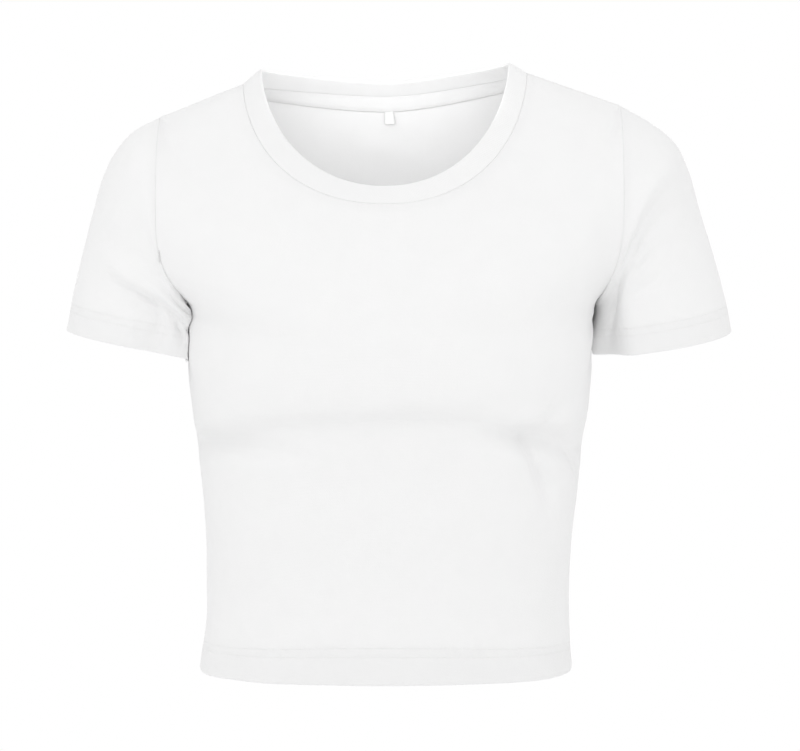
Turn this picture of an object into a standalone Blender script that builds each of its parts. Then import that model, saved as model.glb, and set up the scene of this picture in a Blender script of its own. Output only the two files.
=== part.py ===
"""Crop top: a short-sleeved cropped T-shirt, filled out on a general figure.

Run with: blender --background --python part.py

The wearer's left is +X, the front is -Y and up is +Z. The origin is between the two
shoulder points of the neck, where the wearer's shoulders carry the garment.
Every piece that is cut and sewn on is one thin-walled solid: front, back, two sleeves,
neckband, neck tape and size label. Sizes below are in millimetres; the model is in metres.
"""

import math
from collections import namedtuple

import bmesh
import bpy
import numpy as np

MM = 0.001

# Cloth
JERSEY = 1.2  # wall of the single jersey
DOUBLE = 2.2  # wall where the jersey or the rib is folded double
TRIM = 1.0  # wall of the neck tape and the label
SEAM_GAP = 0.36  # between two pieces at a seam
LAY_GAP = 0.3  # between a piece and the panel that it lies on
SLEEVE_CLEAR = 1.6  # between a sleeve and the side of the body
SLEEVE_CLEAR_RISE = 16.0  # height over which that starts, above the underarm

# Body lengths, as heights above the origin
HEM_HEIGHT = -438.0
HEM_DIP = 1.2  # how much lower the hem hangs at centre front and back than at the sides
HEM_DIP_RISE = 90.0  # height over which that dip fades out
HEM_DEPTH = 25.0  # turned-up hem of the body
CUFF_DEPTH = 20.0  # turned-up hem of the sleeve
LEVEL_UP_TO = -262.0  # sections are level up to here, and dip at their centres above
UNDERARM_DIP = 26.0  # how far the underarm section dips at centre front and back

# Neck
NECK_SEAM_WIDTH = 103.0  # centre line to the neck seam at the shoulder
NECK_EDGE_WIDTH = 90.0  # centre line to the finished neck edge at the shoulder
NECK_SHIFT = -2.0  # the neck opening sits this far to the wearer's right
FRONT_NECK_SEAM = -101.0
FRONT_NECK_EDGE = -88.0
FRONT_NECK_EDGE_DEPTH = 61.0
BACK_NECK_SEAM = -19.5
BACK_NECK_EDGE = -10.0
BACK_NECK_EDGE_DEPTH = 55.0
FRONT_YOKE = -127.0  # centre front of the section through the shoulder points
BACK_YOKE = -58.0  # centre back of the same section
TAPE_WIDTH = 12.0
TAPE_INSET = 1.2  # the tape stops this far from the shoulder and neck seams
LABEL_WIDTH = 7.5
LABEL_LENGTH = 8.5
LABEL_CENTRE = 2.1  # the label sits this far to the wearer's left of centre back
LABEL_STAND_OFF = 1.2  # how far the label's free end stands away from the back

# Armholes
ARMHOLE_FRONT = 56.0  # how far the armhole reaches forward
ARMHOLE_BACK = 54.0  # and back
ARMHOLE_BELLY = 0.25  # the armhole is this much wider low down than high up
ARMHOLE_HOOK = 7.8  # how late the seam turns in towards the underarm
ARMHOLE_PIVOT = 1.0  # flattens the sections that end on the armhole

# How round a section crosses its side seam or the ridge of the shoulder
SIDE_ROUNDING = 0.05
SHOULDER_ROUNDING = 0.5
NECK_ROUNDING = 0.14
STRAIGHT_ROUNDING = 0.25  # the bend at centre back of a neckline that rises in a straight line

# One row a side of the body: the points where seams meet, and the neck edge on the shoulder.
Side = namedtuple("Side", "sign neck_edge_z neck_seam_z shoulder_x shoulder_z underarm_x underarm_z")
SIDES = {
    "right": Side(-1, -3.0, -14.0, 165.0, -38.0, 147.0, -172.0),
    "left": Side(+1, 1.5, -6.0, 168.0, -29.5, 149.5, -172.0),
}

# How a sleeve lies at its armpit: how full the armhole and the sleeve are low down in front
# (1 is an ellipse, and less is squarer), and how closely the sleeve follows the chest there.
Armpit = namedtuple("Armpit", "curve follow")
ARMPITS = {"right": Armpit(0.3, 1.0), "left": Armpit(1.0, 0.0)}

# Half widths of the body at its side seams.
Seam = namedtuple("Seam", "height right left")
SIDE_SEAMS = (
    Seam(-438, 137.6, 135.5),
    Seam(-425, 135.6, 134.0),
    Seam(-408, 132.8, 132.6),
    Seam(-375, 132.1, 132.0),
    Seam(-340, 132.3, 134.6),
    Seam(-302, 135.6, 138.8),
    Seam(-262, 140.4, 143.4),
    Seam(-220, 144.9, 148.2),
    Seam(-190, 147.0, 149.5),
    Seam(-172, 147.0, 149.5),
)

# Centre-front and centre-back profiles: distance from the side seams, and how square the
# section is there (2 is an ellipse).
Profile = namedtuple("Profile", "height front back square")
PROFILES = (
    Profile(-438, 95.0, 79.5, 2.6),
    Profile(-405, 93.0, 74.0, 2.6),
    Profile(-365, 91.5, 73.0, 2.65),
    Profile(-325, 92.5, 77.0, 2.7),
    Profile(-295, 94.0, 82.0, 2.75),
    Profile(-272, 97.5, 85.5, 2.8),
    Profile(-250, 103.0, 89.0, 2.8),
    Profile(-228, 106.5, 92.0, 2.8),
    Profile(-200, 106.5, 95.0, 2.8),
    Profile(-172, 103.0, 98.0, 2.65),
    Profile(-140, 92.5, 98.5, 2.4),
    Profile(-101, 71.0, 93.0, 2.2),
    Profile(-60, 52.0, 82.0, 2.1),
    Profile(-19.5, 32.0, 65.0, 2.1),
)

# Sleeve sections from the armhole to the cuff: the outer and the inner point seen from the
# front, half the depth, the middle's place front to back, and how much lower the front hangs.
Ring = namedtuple("Ring", "along outer_x outer_z inner_x inner_z half_depth middle_y droop")
SLEEVES = {
    "right": (
        Ring(0.00, 165.0, -38.0, 147.0, -172.0, 52.0, 2.0, 0.0),
        Ring(0.12, 184.0, -48.0, 147.5, -178.0, 54.0, 1.0, 1.0),
        Ring(0.25, 197.5, -63.0, 146.5, -184.0, 55.0, 1.0, 2.0),
        Ring(0.38, 206.5, -81.0, 145.0, -190.0, 55.0, 1.0, 2.0),
        Ring(0.52, 213.5, -104.5, 143.0, -195.5, 55.0, 2.0, 2.0),
        Ring(0.68, 220.5, -130.5, 141.0, -202.5, 55.0, 2.0, 2.0),
        Ring(0.85, 228.5, -163.5, 140.0, -208.5, 54.0, 2.0, 1.5),
        Ring(1.00, 234.5, -192.5, 139.0, -213.5, 53.0, 2.0, 1.0),
    ),
    "left": (
        Ring(0.00, 168.0, -29.5, 149.5, -172.0, 52.0, 2.0, 0.0),
        Ring(0.12, 190.5, -42.0, 150.5, -177.0, 53.0, 3.0, 1.0),
        Ring(0.25, 208.5, -56.5, 150.0, -183.0, 53.0, 4.0, 2.0),
        Ring(0.38, 218.5, -76.0, 148.5, -188.5, 52.0, 5.0, 2.0),
        Ring(0.52, 226.0, -101.0, 146.5, -194.5, 51.0, 6.0, 2.0),
        Ring(0.68, 234.5, -128.5, 145.0, -200.0, 50.0, 6.0, 2.5),
        Ring(0.85, 244.5, -163.5, 144.5, -204.5, 48.0, 6.0, 4.0),
        Ring(1.00, 251.0, -193.5, 144.5, -209.5, 46.0, 6.0, 5.0),
    ),
}
ARMHOLE_FADE = 0.6  # share of the sleeve over which the armhole's own outline fades out

# Folds on the body: a soft trough (or, with a negative depth, a ridge) between two points.
# Places round the body are in degrees: 0 is centre front, 90 the left side seam and armhole,
# -90 the right ones and 180 centre back.
Fold = namedtuple("Fold", "start_round start_height end_round end_height half_width depth")
BODY_FOLDS = (
    Fold(-66, -286, 66, -286, 28, 2.6),  # the hollow under the bust
    Fold(-84, -273, -24, -257, 9, 2.6),  # the line under the bust, from right to left
    Fold(-44, -259, 36, -252, 9, 2.8),
    Fold(16, -253, 60, -268, 9, 2.6),
    Fold(-76, -269, -34, -271, 9, 4.6),  # right end of it
    Fold(38, -264, 60, -270, 9, 5.6),  # left end of it
    Fold(48, -266, 58, -238, 8, 2.2),
    Fold(54, -272, 86, -274, 9, 2.6),
    Fold(46, -272, 57, -316, 7, 3.8),  # drag lines down from the left end
    Fold(63, -274, 80, -298, 7, 2.8),
    Fold(-88, -196, -72, -222, 9, 1.4),  # below the right armpit
    Fold(93, -184, 72, -228, 11, 3.0),  # below the left armpit
    Fold(-150, -350, 174, -366, 15, 3.4),  # small of the back
    Fold(152, -336, -172, -352, 14, 3.0),
    Fold(-112, -322, -146, -346, 13, 2.6),
    Fold(114, -314, 150, -340, 13, 2.8),
    Fold(-132, -218, -158, -168, 14, 3.0),  # from the armpits to the shoulder blades
    Fold(130, -224, 160, -160, 14, 2.6),
)

# Soft flutes of the hem: place round the body, half width and how far the cloth swings out.
Flute = namedtuple("Flute", "place half_width swing")
HEM_FLUTES = (
    Flute(-66, 17, 2.2),
    Flute(-40, 20, 2.2),
    Flute(-20, 20, -1.6),
    Flute(-3, 32, 1.8),
    Flute(27, 26, -1.6),
    Flute(53, 18, 2.4),
    Flute(82, 20, -1.2),
    Flute(-118, 26, 2.2),
    Flute(-150, 28, -2.0),
    Flute(180, 36, 2.0),
    Flute(150, 26, -1.8),
    Flute(116, 26, 2.4),
)
FLUTE_RISE = 70.0  # height over which the flutes fade out
BODY_AROUND = 780.0  # girth of the body, which turns degrees round it into distances

# Folds on the sleeves: round is the angle from the underarm over the front, in degrees,
# and along runs from 0 at the armhole to 1 at the cuff.
SleeveFold = namedtuple("SleeveFold", "start_round start_along end_round end_along half_width depth")
SLEEVE_FOLDS = {
    "right": (
        SleeveFold(14, 0.30, 122, 0.65, 9, -4.0),  # the lip of the armpit fold
        SleeveFold(36, 0.54, 108, 0.80, 10, 5.5),  # the hollow under it
        SleeveFold(68, 0.98, 72, 1.40, 24, 7.0),  # set back above the cuff
        SleeveFold(92, 0.90, 92, 1.30, 10, -2.5),
        SleeveFold(250, 0.35, 320, 0.75, 12, 4.0),
    ),
    "left": (
        SleeveFold(60, 0.03, 142, 0.29, 9, -2.2),  # across the front of the upper arm
        SleeveFold(60, 0.19, 140, 0.45, 9, 3.4),
        SleeveFold(40, 0.14, 36, 1.30, 15, 8.5),  # the side that turns in towards the body
        SleeveFold(68, 0.30, 66, 1.30, 10, -3.0),
        SleeveFold(245, 0.30, 318, 0.72, 12, 4.0),
    ),
}
SLEEVE_AROUND = 300.0  # girth of a sleeve, which turns angles into distances
SLEEVE_ALONG = 130.0  # mean length of a sleeve, which turns shares into distances

# Mesh steps
BODY_STEPS = 23  # hem to underarm
ROWS_CLOSEST_AT = 0.61  # the fold under the bust, as a share of the way up from the hem line
ROWS_CLOSER = 0.4  # how much closer together the rows are there
ARMHOLE_STEPS = 15  # underarm to shoulder point
SHOULDER_STEPS = 5  # shoulder point to neck seam
FRONT_COLUMNS = 34
BACK_COLUMNS = 26
SLEEVE_STEPS = 14
RELAX_TURNS = 8  # rounds of evening out in the yoke
BAND_STEPS = 3
TAPE_STEPS = 2
LABEL_STEPS = 4

# Finish
Finish = namedtuple("Finish", "colour roughness")
JERSEY_WHITE = Finish((0.88, 0.88, 0.88, 1.0), 0.9)
RIB_WHITE = Finish((0.87, 0.87, 0.87, 1.0), 0.92)
TAPE_WHITE = Finish((0.86, 0.86, 0.86, 1.0), 0.85)
LABEL_WHITE = Finish((0.92, 0.92, 0.92, 1.0), 0.6)


def through(knots, values, at):
    """Smooth curve through a table's values, a cubic between each two rows."""
    knots, values = np.asarray(knots, float), np.asarray(values, float)
    slopes = np.gradient(values, knots)
    k = np.clip(np.searchsorted(knots, at) - 1, 0, len(knots) - 2)
    width = knots[k + 1] - knots[k]
    u = (at - knots[k]) / width
    ends = values[k] * (1 + 2 * u) * (1 - u) ** 2 + values[k + 1] * u**2 * (3 - 2 * u)
    return ends + width * u * (1 - u) * (slopes[k] * (1 - u) - slopes[k + 1] * u)


def column(table, name, at, key="height"):
    """One named column of a table, read at a place between its rows."""
    return through([getattr(row, key) for row in table], [getattr(row, name) for row in table], at)


def smooth_step(share):
    share = np.clip(share, 0.0, 1.0)
    return share * share * (3 - 2 * share)


def unit(vectors):
    return vectors / np.linalg.norm(vectors, axis=-1, keepdims=True)


# ---------------------------------------------------------------- the body's sections


def chest_width(ahead, face):
    """Half width of the chest at a distance ahead of the side seams, as a share of the whole."""
    underarm = SIDES["left"].underarm_z
    depth = column(PROFILES, "front" if face < 0 else "back", underarm)
    square = column(PROFILES, "square", underarm)
    return (1 - np.clip(ahead / depth, 0, 1) ** square) ** (1 / square)


def armhole_point(name, lift, face):
    """A point of the armhole seam; lift is 0 at the underarm and 1 at the shoulder point."""
    side = SIDES[name]
    turn = math.pi * (lift - 0.5)
    rise = (1 + math.sin(turn)) / 2
    reach = ARMHOLE_FRONT if face < 0 else ARMHOLE_BACK
    curve = ARMPITS[name].curve if face < 0 and lift < 0.5 else 1.0
    ahead = reach * max(0.0, math.cos(turn)) ** curve * (1 + ARMHOLE_BELLY * (0.5 - rise))
    low_x = side.underarm_x * chest_width(ahead, face)
    x = side.shoulder_x - (side.shoulder_x - low_x) * (1 - rise) ** ARMHOLE_HOOK
    z = side.underarm_z + (side.shoulder_z - side.underarm_z) * rise
    return x, face * ahead, z


def body_height(step):
    """Height of a section's side-seam point, for the steps from the hem to the underarm."""
    underarm = SIDES["left"].underarm_z
    hem_line = HEM_HEIGHT + HEM_DEPTH
    if step <= 2:
        return HEM_HEIGHT + HEM_DEPTH * step / 2
    share = (step - 2) / (BODY_STEPS - 2)
    full_turn = 2 * math.pi
    drawn = math.sin(full_turn * (share - ROWS_CLOSEST_AT)) + math.sin(full_turn * ROWS_CLOSEST_AT)
    return hem_line + (underarm - hem_line) * (share - ROWS_CLOSER / full_turn * drawn)


def edge_point(name, step, face):
    """Where a section meets its side seam, armhole or shoulder seam, with x as a distance."""
    side = SIDES[name]
    if step <= BODY_STEPS:
        height = body_height(step)
        return float(column(SIDE_SEAMS, name, height)), 0.0, height
    if step <= BODY_STEPS + ARMHOLE_STEPS:
        return armhole_point(name, (step - BODY_STEPS) / ARMHOLE_STEPS, face)
    up = (step - BODY_STEPS - ARMHOLE_STEPS) / SHOULDER_STEPS
    x = side.shoulder_x + (NECK_SEAM_WIDTH - side.shoulder_x) * up
    return x, 0.0, side.shoulder_z + (side.neck_seam_z - side.shoulder_z) * up


def centre_height(step, face):
    """Height of a section at centre front or centre back."""
    yoke, neck = (FRONT_YOKE, FRONT_NECK_SEAM) if face < 0 else (BACK_YOKE, BACK_NECK_SEAM)
    underarm = SIDES["left"].underarm_z - UNDERARM_DIP
    if step <= BODY_STEPS:
        height = body_height(step)
        top = SIDES["left"].underarm_z
        hem = HEM_DIP * (1 - smooth_step((height - HEM_HEIGHT) / HEM_DIP_RISE))
        return height - hem - UNDERARM_DIP * smooth_step((height - LEVEL_UP_TO) / (top - LEVEL_UP_TO))
    if step <= BODY_STEPS + ARMHOLE_STEPS:
        return underarm + (yoke - underarm) * (step - BODY_STEPS) / ARMHOLE_STEPS
    return yoke + (neck - yoke) * (step - BODY_STEPS - ARMHOLE_STEPS) / SHOULDER_STEPS


def section_rounding(step):
    if step <= BODY_STEPS:
        return SIDE_ROUNDING
    if step <= BODY_STEPS + ARMHOLE_STEPS:
        up = (step - BODY_STEPS) / ARMHOLE_STEPS
        return SIDE_ROUNDING + (SHOULDER_ROUNDING - SIDE_ROUNDING) * up
    up = (step - BODY_STEPS - ARMHOLE_STEPS) / SHOULDER_STEPS
    return SHOULDER_ROUNDING + (NECK_ROUNDING - SHOULDER_ROUNDING) * up


def half_section(edge, centre_z, depth, square, rounding, straight, face, steps):
    """Points of a section from its centre line to its edge, on a squared ellipse.

    It rises from its centre to its edge as it turns back; straight, from 0 to 1, makes it
    rise in a straight line as seen from the front instead, as the back of the neck does.
    """
    edge_x, edge_y, edge_z = edge
    pivot = ARMHOLE_PIVOT * abs(edge_y)
    reach = depth + pivot
    rest = (abs(edge_y) + pivot) / reach
    full = edge_x / (1 - rest**square) ** (1 / square)
    turn = np.linspace(0, math.atan2(edge_x / full, rest), steps + 1)
    radius = (np.sin(turn) ** square + np.cos(turn) ** square) ** (-1 / square)
    ahead = radius * np.cos(turn)

    def bend(share):
        return np.sqrt(share**2 + rounding**2)

    x = full * radius * np.sin(turn)
    y = face * (reach * ahead - pivot)
    turned_back = (bend(1) - bend(ahead)) / (bend(1) - bend(rest))
    seen_ahead = (np.hypot(x / edge_x, STRAIGHT_ROUNDING) - STRAIGHT_ROUNDING) / (
        math.hypot(1, STRAIGHT_ROUNDING) - STRAIGHT_ROUNDING
    )
    z = centre_z + (edge_z - centre_z) * ((1 - straight) * turned_back + straight * seen_ahead)
    return np.stack([x, y, z], axis=1)


def whole_section(edges, centre_z, depth, square, rounding, straight, face, columns):
    """A section from edge to edge, so that it runs right to left in front and back again behind."""
    halves = [
        half_section(edge, centre_z, depth, square, rounding, straight, face, columns // 2)
        for edge in edges
    ]
    right, left = halves
    right[:, 0] *= -1
    return np.concatenate([right[::-1], left[1:]])[:: -1 if face > 0 else 1]


def panel_points(face, columns):
    """The front (face -1) or back (face +1) as rows of points, from the hem to the neck seam."""
    rows = []
    for step in range(BODY_STEPS + ARMHOLE_STEPS + SHOULDER_STEPS + 1):
        height = centre_height(step, face)
        depth = float(column(PROFILES, "front" if face < 0 else "back", height))
        square = float(column(PROFILES, "square", height))
        edges = [edge_point(name, step, face) for name in ("right", "left")]
        rounding = section_rounding(step)
        above_armhole = max(0.0, (step - BODY_STEPS - ARMHOLE_STEPS) / SHOULDER_STEPS)
        straight = above_armhole if face > 0 else 0.0
        row = whole_section(edges, height, depth, square, rounding, straight, face, columns)
        row[:, 0] += NECK_SHIFT * smooth_step(above_armhole)
        rows.append(row)
    return relaxed(np.array(rows))


def degrees_round(points, face):
    """Place of each point round the body, from the share of its own section's length."""
    steps = np.linalg.norm(np.diff(points, axis=1), axis=2)
    along = np.concatenate([np.zeros((len(points), 1)), np.cumsum(steps, axis=1)], axis=1)
    middle = points.shape[1] // 2
    first = along[:, : middle + 1] / along[:, middle : middle + 1]
    second = (along[:, middle:] - along[:, middle : middle + 1]) / (
        along[:, -1:] - along[:, middle : middle + 1]
    )
    if face < 0:
        return np.concatenate([90 * first - 90, 90 * second[:, 1:]], axis=1)
    return np.concatenate([90 + 90 * first, 180 + 90 * second[:, 1:]], axis=1)


def relaxed(points):
    """Evens out the yoke between its seams, as the cloth over the shoulders does."""
    rows = len(points)
    yield_to = smooth_step((np.arange(rows) - BODY_STEPS + 4) / 10)[1:-1, None, None]
    for _ in range(RELAX_TURNS):
        across = points[1:-1, 2:] + points[1:-1, :-2]
        along = points[2:, 1:-1] + points[:-2, 1:-1]
        pull = (across + along) / 4 - points[1:-1, 1:-1]
        points[1:-1, 1:-1] += 0.6 * yield_to * pull
    return points


def grid_normals(points, tube=False):
    """Unit normals of a grid of points, outwards when its rows run right to left in front."""
    if tube:
        across = np.roll(points[:, :-1], -1, axis=1) - np.roll(points[:, :-1], 1, axis=1)
        across = np.concatenate([across, across[:, :1]], axis=1)
    else:
        across = np.gradient(points, axis=1)
    return unit(np.cross(across, np.gradient(points, axis=0)))


# ---------------------------------------------------------------- folds


def trough(across, up, start, end, half_width, depth):
    """Depth of a soft fold at each point: full along its middle, fading at its ends and sides."""
    run, rise = end[0] - start[0], end[1] - start[1]
    share = ((across - start[0]) * run + (up - start[1]) * rise) / (run**2 + rise**2)
    share = np.clip(share, 0, 1)
    off = np.hypot(across - start[0] - share * run, up - start[1] - share * rise)
    ends = 0.35 + 0.65 * np.sin(math.pi * share)
    return depth * ends * np.exp(-((off / half_width) ** 2))


def turned(place, middle):
    """Distance round the body from a middle place, the short way."""
    return ((place - middle + 180) % 360 - 180) * BODY_AROUND / 360


def body_fold_depth(place, height):
    total = np.zeros_like(place)
    for fold in BODY_FOLDS:
        middle = fold.start_round + turned(fold.end_round, fold.start_round) / BODY_AROUND * 180
        start = (turned(fold.start_round, middle), fold.start_height)
        end = (turned(fold.end_round, middle), fold.end_height)
        total += trough(turned(place, middle), height, start, end, fold.half_width, fold.depth)
    rise = np.clip((height - HEM_HEIGHT) / FLUTE_RISE, 0, 1)
    for flute in HEM_FLUTES:
        bump = np.exp(-((turned(place, flute.place) / flute.half_width) ** 2))
        total -= flute.swing * bump * (1 - rise) ** 2
    return total


def fade_at_armholes(points):
    """1 on the body, falling to 0 at the neck and armhole seams, so that folds end there."""
    rows, columns = points.shape[:2]
    step = np.arange(rows)[:, None]
    from_edge = np.minimum(np.arange(columns), np.arange(columns)[::-1])[None, :]
    beside_armhole = smooth_step((step - BODY_STEPS) / 3)
    sides = 1 - beside_armhole * (1 - smooth_step(from_edge / 4))
    return sides * smooth_step((rows - 1 - step) / 4)


def folded_panels():
    """Points of the front and the back, with their folds, meeting at their seams."""
    front, back = panel_points(-1, FRONT_COLUMNS), panel_points(+1, BACK_COLUMNS)
    for points, face in ((front, -1), (back, +1)):
        place = degrees_round(points, face)
        depth = body_fold_depth(place, points[:, :, 2]) * fade_at_armholes(points)
        points -= grid_normals(points) * depth[:, :, None]
    meet_at_seams(front, back)
    return front, back


def meet_at_seams(front, back):
    """Brings the two panels' side and shoulder seams onto one line."""
    armhole = slice(BODY_STEPS + 1, BODY_STEPS + ARMHOLE_STEPS)
    for front_edge, back_edge in ((-1, 0), (0, -1)):
        middle = (front[:, front_edge] + back[:, back_edge]) / 2
        middle_front, middle_back = middle.copy(), middle.copy()
        middle_front[armhole] = front[armhole, front_edge]
        middle_back[armhole] = back[armhole, back_edge]
        front[:, front_edge], back[:, back_edge] = middle_front, middle_back


# ---------------------------------------------------------------- sleeves


def sleeve_ring(name, along, turn):
    """A sleeve's smooth section; turn runs from the underarm over the front and back again."""
    table, sign = SLEEVES[name], SIDES[name].sign
    outer_x, outer_z, inner_x, inner_z, half_depth, middle_y, droop = (
        float(column(table, field, along, "along")) for field in Ring._fields[1:]
    )
    armpit = ARMPITS[name]
    over = (1 - np.cos(turn)) / 2
    ahead = np.where(turn < math.pi / 2, np.abs(np.sin(turn)) ** armpit.curve, np.sin(turn))
    y = middle_y - half_depth * ahead
    beside_chest = 1 - armpit.follow * (1 - chest_width(-y, -1))
    x = sign * (inner_x * beside_chest + (outer_x - inner_x * beside_chest) * over)
    z = inner_z + (outer_z - inner_z) * over - droop * np.sin(turn)
    return np.stack([x, y, z], axis=1)


def clear_of_body(name, points, front, back):
    """A sleeve's points, moved off the side of the body where the arm presses them on it."""
    side = SIDES[name]
    surface = np.concatenate([front.reshape(-1, 3), back.reshape(-1, 3)])
    facing = np.concatenate([grid_normals(panel).reshape(-1, 3) for panel in (front, back)])
    top = side.underarm_z + SLEEVE_CLEAR_RISE
    beside = (side.sign * surface[:, 0] > side.underarm_x / 2) & (surface[:, 2] < top)
    surface, facing = surface[beside], facing[beside]
    cleared = points.copy()
    for p in cleared.reshape(-1, 3):
        if p[2] < top:
            nearest = np.argmin(((surface - p) ** 2).sum(axis=1))
            off = (p - surface[nearest]) @ facing[nearest]
            share = smooth_step((top - p[2]) / SLEEVE_CLEAR_RISE)
            p += facing[nearest] * max(0.0, SLEEVE_CLEAR - off) * share
    return cleared


def armhole_loop(name, front, back):
    """The armhole's points from the underarm up the front, over the shoulder and down the back."""
    rows = slice(BODY_STEPS, BODY_STEPS + ARMHOLE_STEPS + 1)
    front_edge, back_edge = (0, -1) if name == "right" else (-1, 0)
    return np.concatenate([front[rows, front_edge], back[rows, back_edge][::-1][1:]])


def sleeve_fold_depth(name, turn, along):
    """Depth of a sleeve's folds at every angle for one share of its length."""
    total = np.zeros_like(turn)
    place = turn / (2 * math.pi) * SLEEVE_AROUND
    for fold in SLEEVE_FOLDS[name]:
        start = (fold.start_round / 360 * SLEEVE_AROUND, fold.start_along * SLEEVE_ALONG)
        end = (fold.end_round / 360 * SLEEVE_AROUND, fold.end_along * SLEEVE_ALONG)
        total += trough(place, along * SLEEVE_ALONG, start, end, fold.half_width, fold.depth)
    return total * smooth_step(along / 0.15)


def sleeve_points(name, front, back):
    """Rows of points from the armhole to the cuff; the last column repeats the first."""
    loop = armhole_loop(name, front, back)
    turn = np.linspace(0, 2 * math.pi, len(loop))
    start = sleeve_ring(name, 0.0, turn)
    alongs = np.linspace(0, 1, SLEEVE_STEPS + 1)
    rows = []
    for along in alongs:
        fade = max(0.0, 1 - along / ARMHOLE_FADE) ** 2
        rows.append(sleeve_ring(name, along, turn) + (loop - start) * fade)
    points = np.array(rows)
    points[0] = loop
    if name == "left":
        points = points[:, ::-1]
        turn = turn[::-1]
    normals = grid_normals(points, tube=True)
    for k, along in enumerate(alongs[1:], 1):
        points[k] -= normals[k] * sleeve_fold_depth(name, turn, along)[:, None]
    points[1:] = clear_of_body(name, points[1:], front, back)
    return points


# ---------------------------------------------------------------- neck


def neck_loop(front, back):
    """The neck seam, from the right shoulder across the front and round the back."""
    return np.concatenate([front[-1], back[-1][1:]])


def neckband_points(front, back):
    """The folded rib band, from the neck seam to the finished edge."""
    seam = neck_loop(front, back)
    edges = [(NECK_EDGE_WIDTH, 0.0, SIDES[name].neck_edge_z) for name in ("right", "left")]
    sizes = ((FRONT_NECK_EDGE, FRONT_NECK_EDGE_DEPTH, FRONT_COLUMNS, -1),
             (BACK_NECK_EDGE, BACK_NECK_EDGE_DEPTH, BACK_COLUMNS, +1))
    halves = [
        whole_section(edges, height, depth, 2.1, NECK_ROUNDING, max(0, face), face, columns)
        for height, depth, columns, face in sizes
    ]
    edge = np.concatenate([halves[0], halves[1][1:]])
    edge[:, 0] += NECK_SHIFT
    rows = np.array([seam + (edge - seam) * k / BAND_STEPS for k in range(BAND_STEPS + 1)])
    bulge = 0.9 * np.sin(np.linspace(0, math.pi, BAND_STEPS + 1))
    return rows + grid_normals(rows, tube=True) * bulge[:, None, None]


def down_the_back(inside, normals, distances, columns):
    """Points of the back's inner face at distances below the neck seam, and its normals there."""
    points = np.zeros((len(distances), len(columns), 3))
    facing = np.zeros_like(points)
    for j, place in enumerate(columns):
        low, share = min(int(place), inside.shape[1] - 2), place - min(int(place), inside.shape[1] - 2)
        line = (inside[:, low] * (1 - share) + inside[:, low + 1] * share)[::-1]
        normal = (normals[:, low] * (1 - share) + normals[:, low + 1] * share)[::-1]
        run = np.concatenate([[0], np.cumsum(np.linalg.norm(np.diff(line, axis=0), axis=1))])
        for axis in range(3):
            points[:, j, axis] = np.interp(distances, run, line[:, axis])
            facing[:, j, axis] = np.interp(distances, run, normal[:, axis])
    return points, unit(facing)


# ---------------------------------------------------------------- solids


def inset(points, normals, loop):
    """Moves a border in along the cloth by half the seam gap; loop is its (row, column) pairs."""
    border = np.array([points[at] for at in loop])
    facing = np.array([normals[at] for at in loop])
    before, after = border - np.roll(border, 1, axis=0), np.roll(border, -1, axis=0) - border
    first, second = unit(np.cross(facing, before)), unit(np.cross(facing, after))
    shift = (first + second) / (1 + (first * second).sum(axis=1, keepdims=True))
    for at, move in zip(loop, shift):
        points[at] += move * SEAM_GAP / 2


def panel_border(rows, columns):
    """A panel's border, anticlockwise as seen from outside."""
    bottom = [(0, j) for j in range(columns - 1)]
    left = [(i, columns - 1) for i in range(rows - 1)]
    top = [(rows - 1, j) for j in range(columns - 1, 0, -1)]
    right = [(i, 0) for i in range(rows - 1, 0, -1)]
    return bottom + left + top + right


def cloth_material(name, finish):
    material = bpy.data.materials.new(name)
    material.use_nodes = True
    shader = material.node_tree.nodes["Principled BSDF"]
    shader.inputs["Base Color"].default_value = finish.colour
    shader.inputs["Roughness"].default_value = finish.roughness
    shader.inputs["Metallic"].default_value = 0.0
    material.diffuse_color = finish.colour
    return material


def cloth_solid(name, points, inward, material, tube=False):
    """A wall of cloth: a grid laid on the outer points, extruded inwards by its own offsets."""
    rows, columns = points.shape[:2]
    shape = bmesh.new()
    offset = shape.verts.layers.float_vector.new("inward")
    bmesh.ops.create_grid(shape, x_segments=columns - 1, y_segments=rows - 1, size=1)
    shape.verts.ensure_lookup_table()
    for vertex, place, step in zip(shape.verts, points.reshape(-1, 3), inward.reshape(-1, 3)):
        vertex.co = place * MM
        vertex[offset] = step * MM
    if tube:
        bmesh.ops.remove_doubles(shape, verts=shape.verts, dist=0.01 * MM)
    made = bmesh.ops.extrude_face_region(shape, geom=shape.faces[:], use_keep_orig=True)
    for vertex in made["geom"]:
        if isinstance(vertex, bmesh.types.BMVert):
            vertex.co += vertex[offset]
    shape.verts.layers.float_vector.remove(offset)
    bmesh.ops.recalc_face_normals(shape, faces=shape.faces)
    mesh = bpy.data.meshes.new(name)
    shape.to_mesh(mesh)
    shape.free()
    mesh.shade_smooth()
    mesh.set_sharp_from_angle(angle=math.radians(50))
    mesh.materials.append(material)
    piece = bpy.data.objects.new(name, mesh)
    bpy.context.scene.collection.objects.link(piece)
    return piece


def walls(points, normals, thickness):
    return -normals * np.broadcast_to(thickness, points.shape[:2])[:, :, None]


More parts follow.
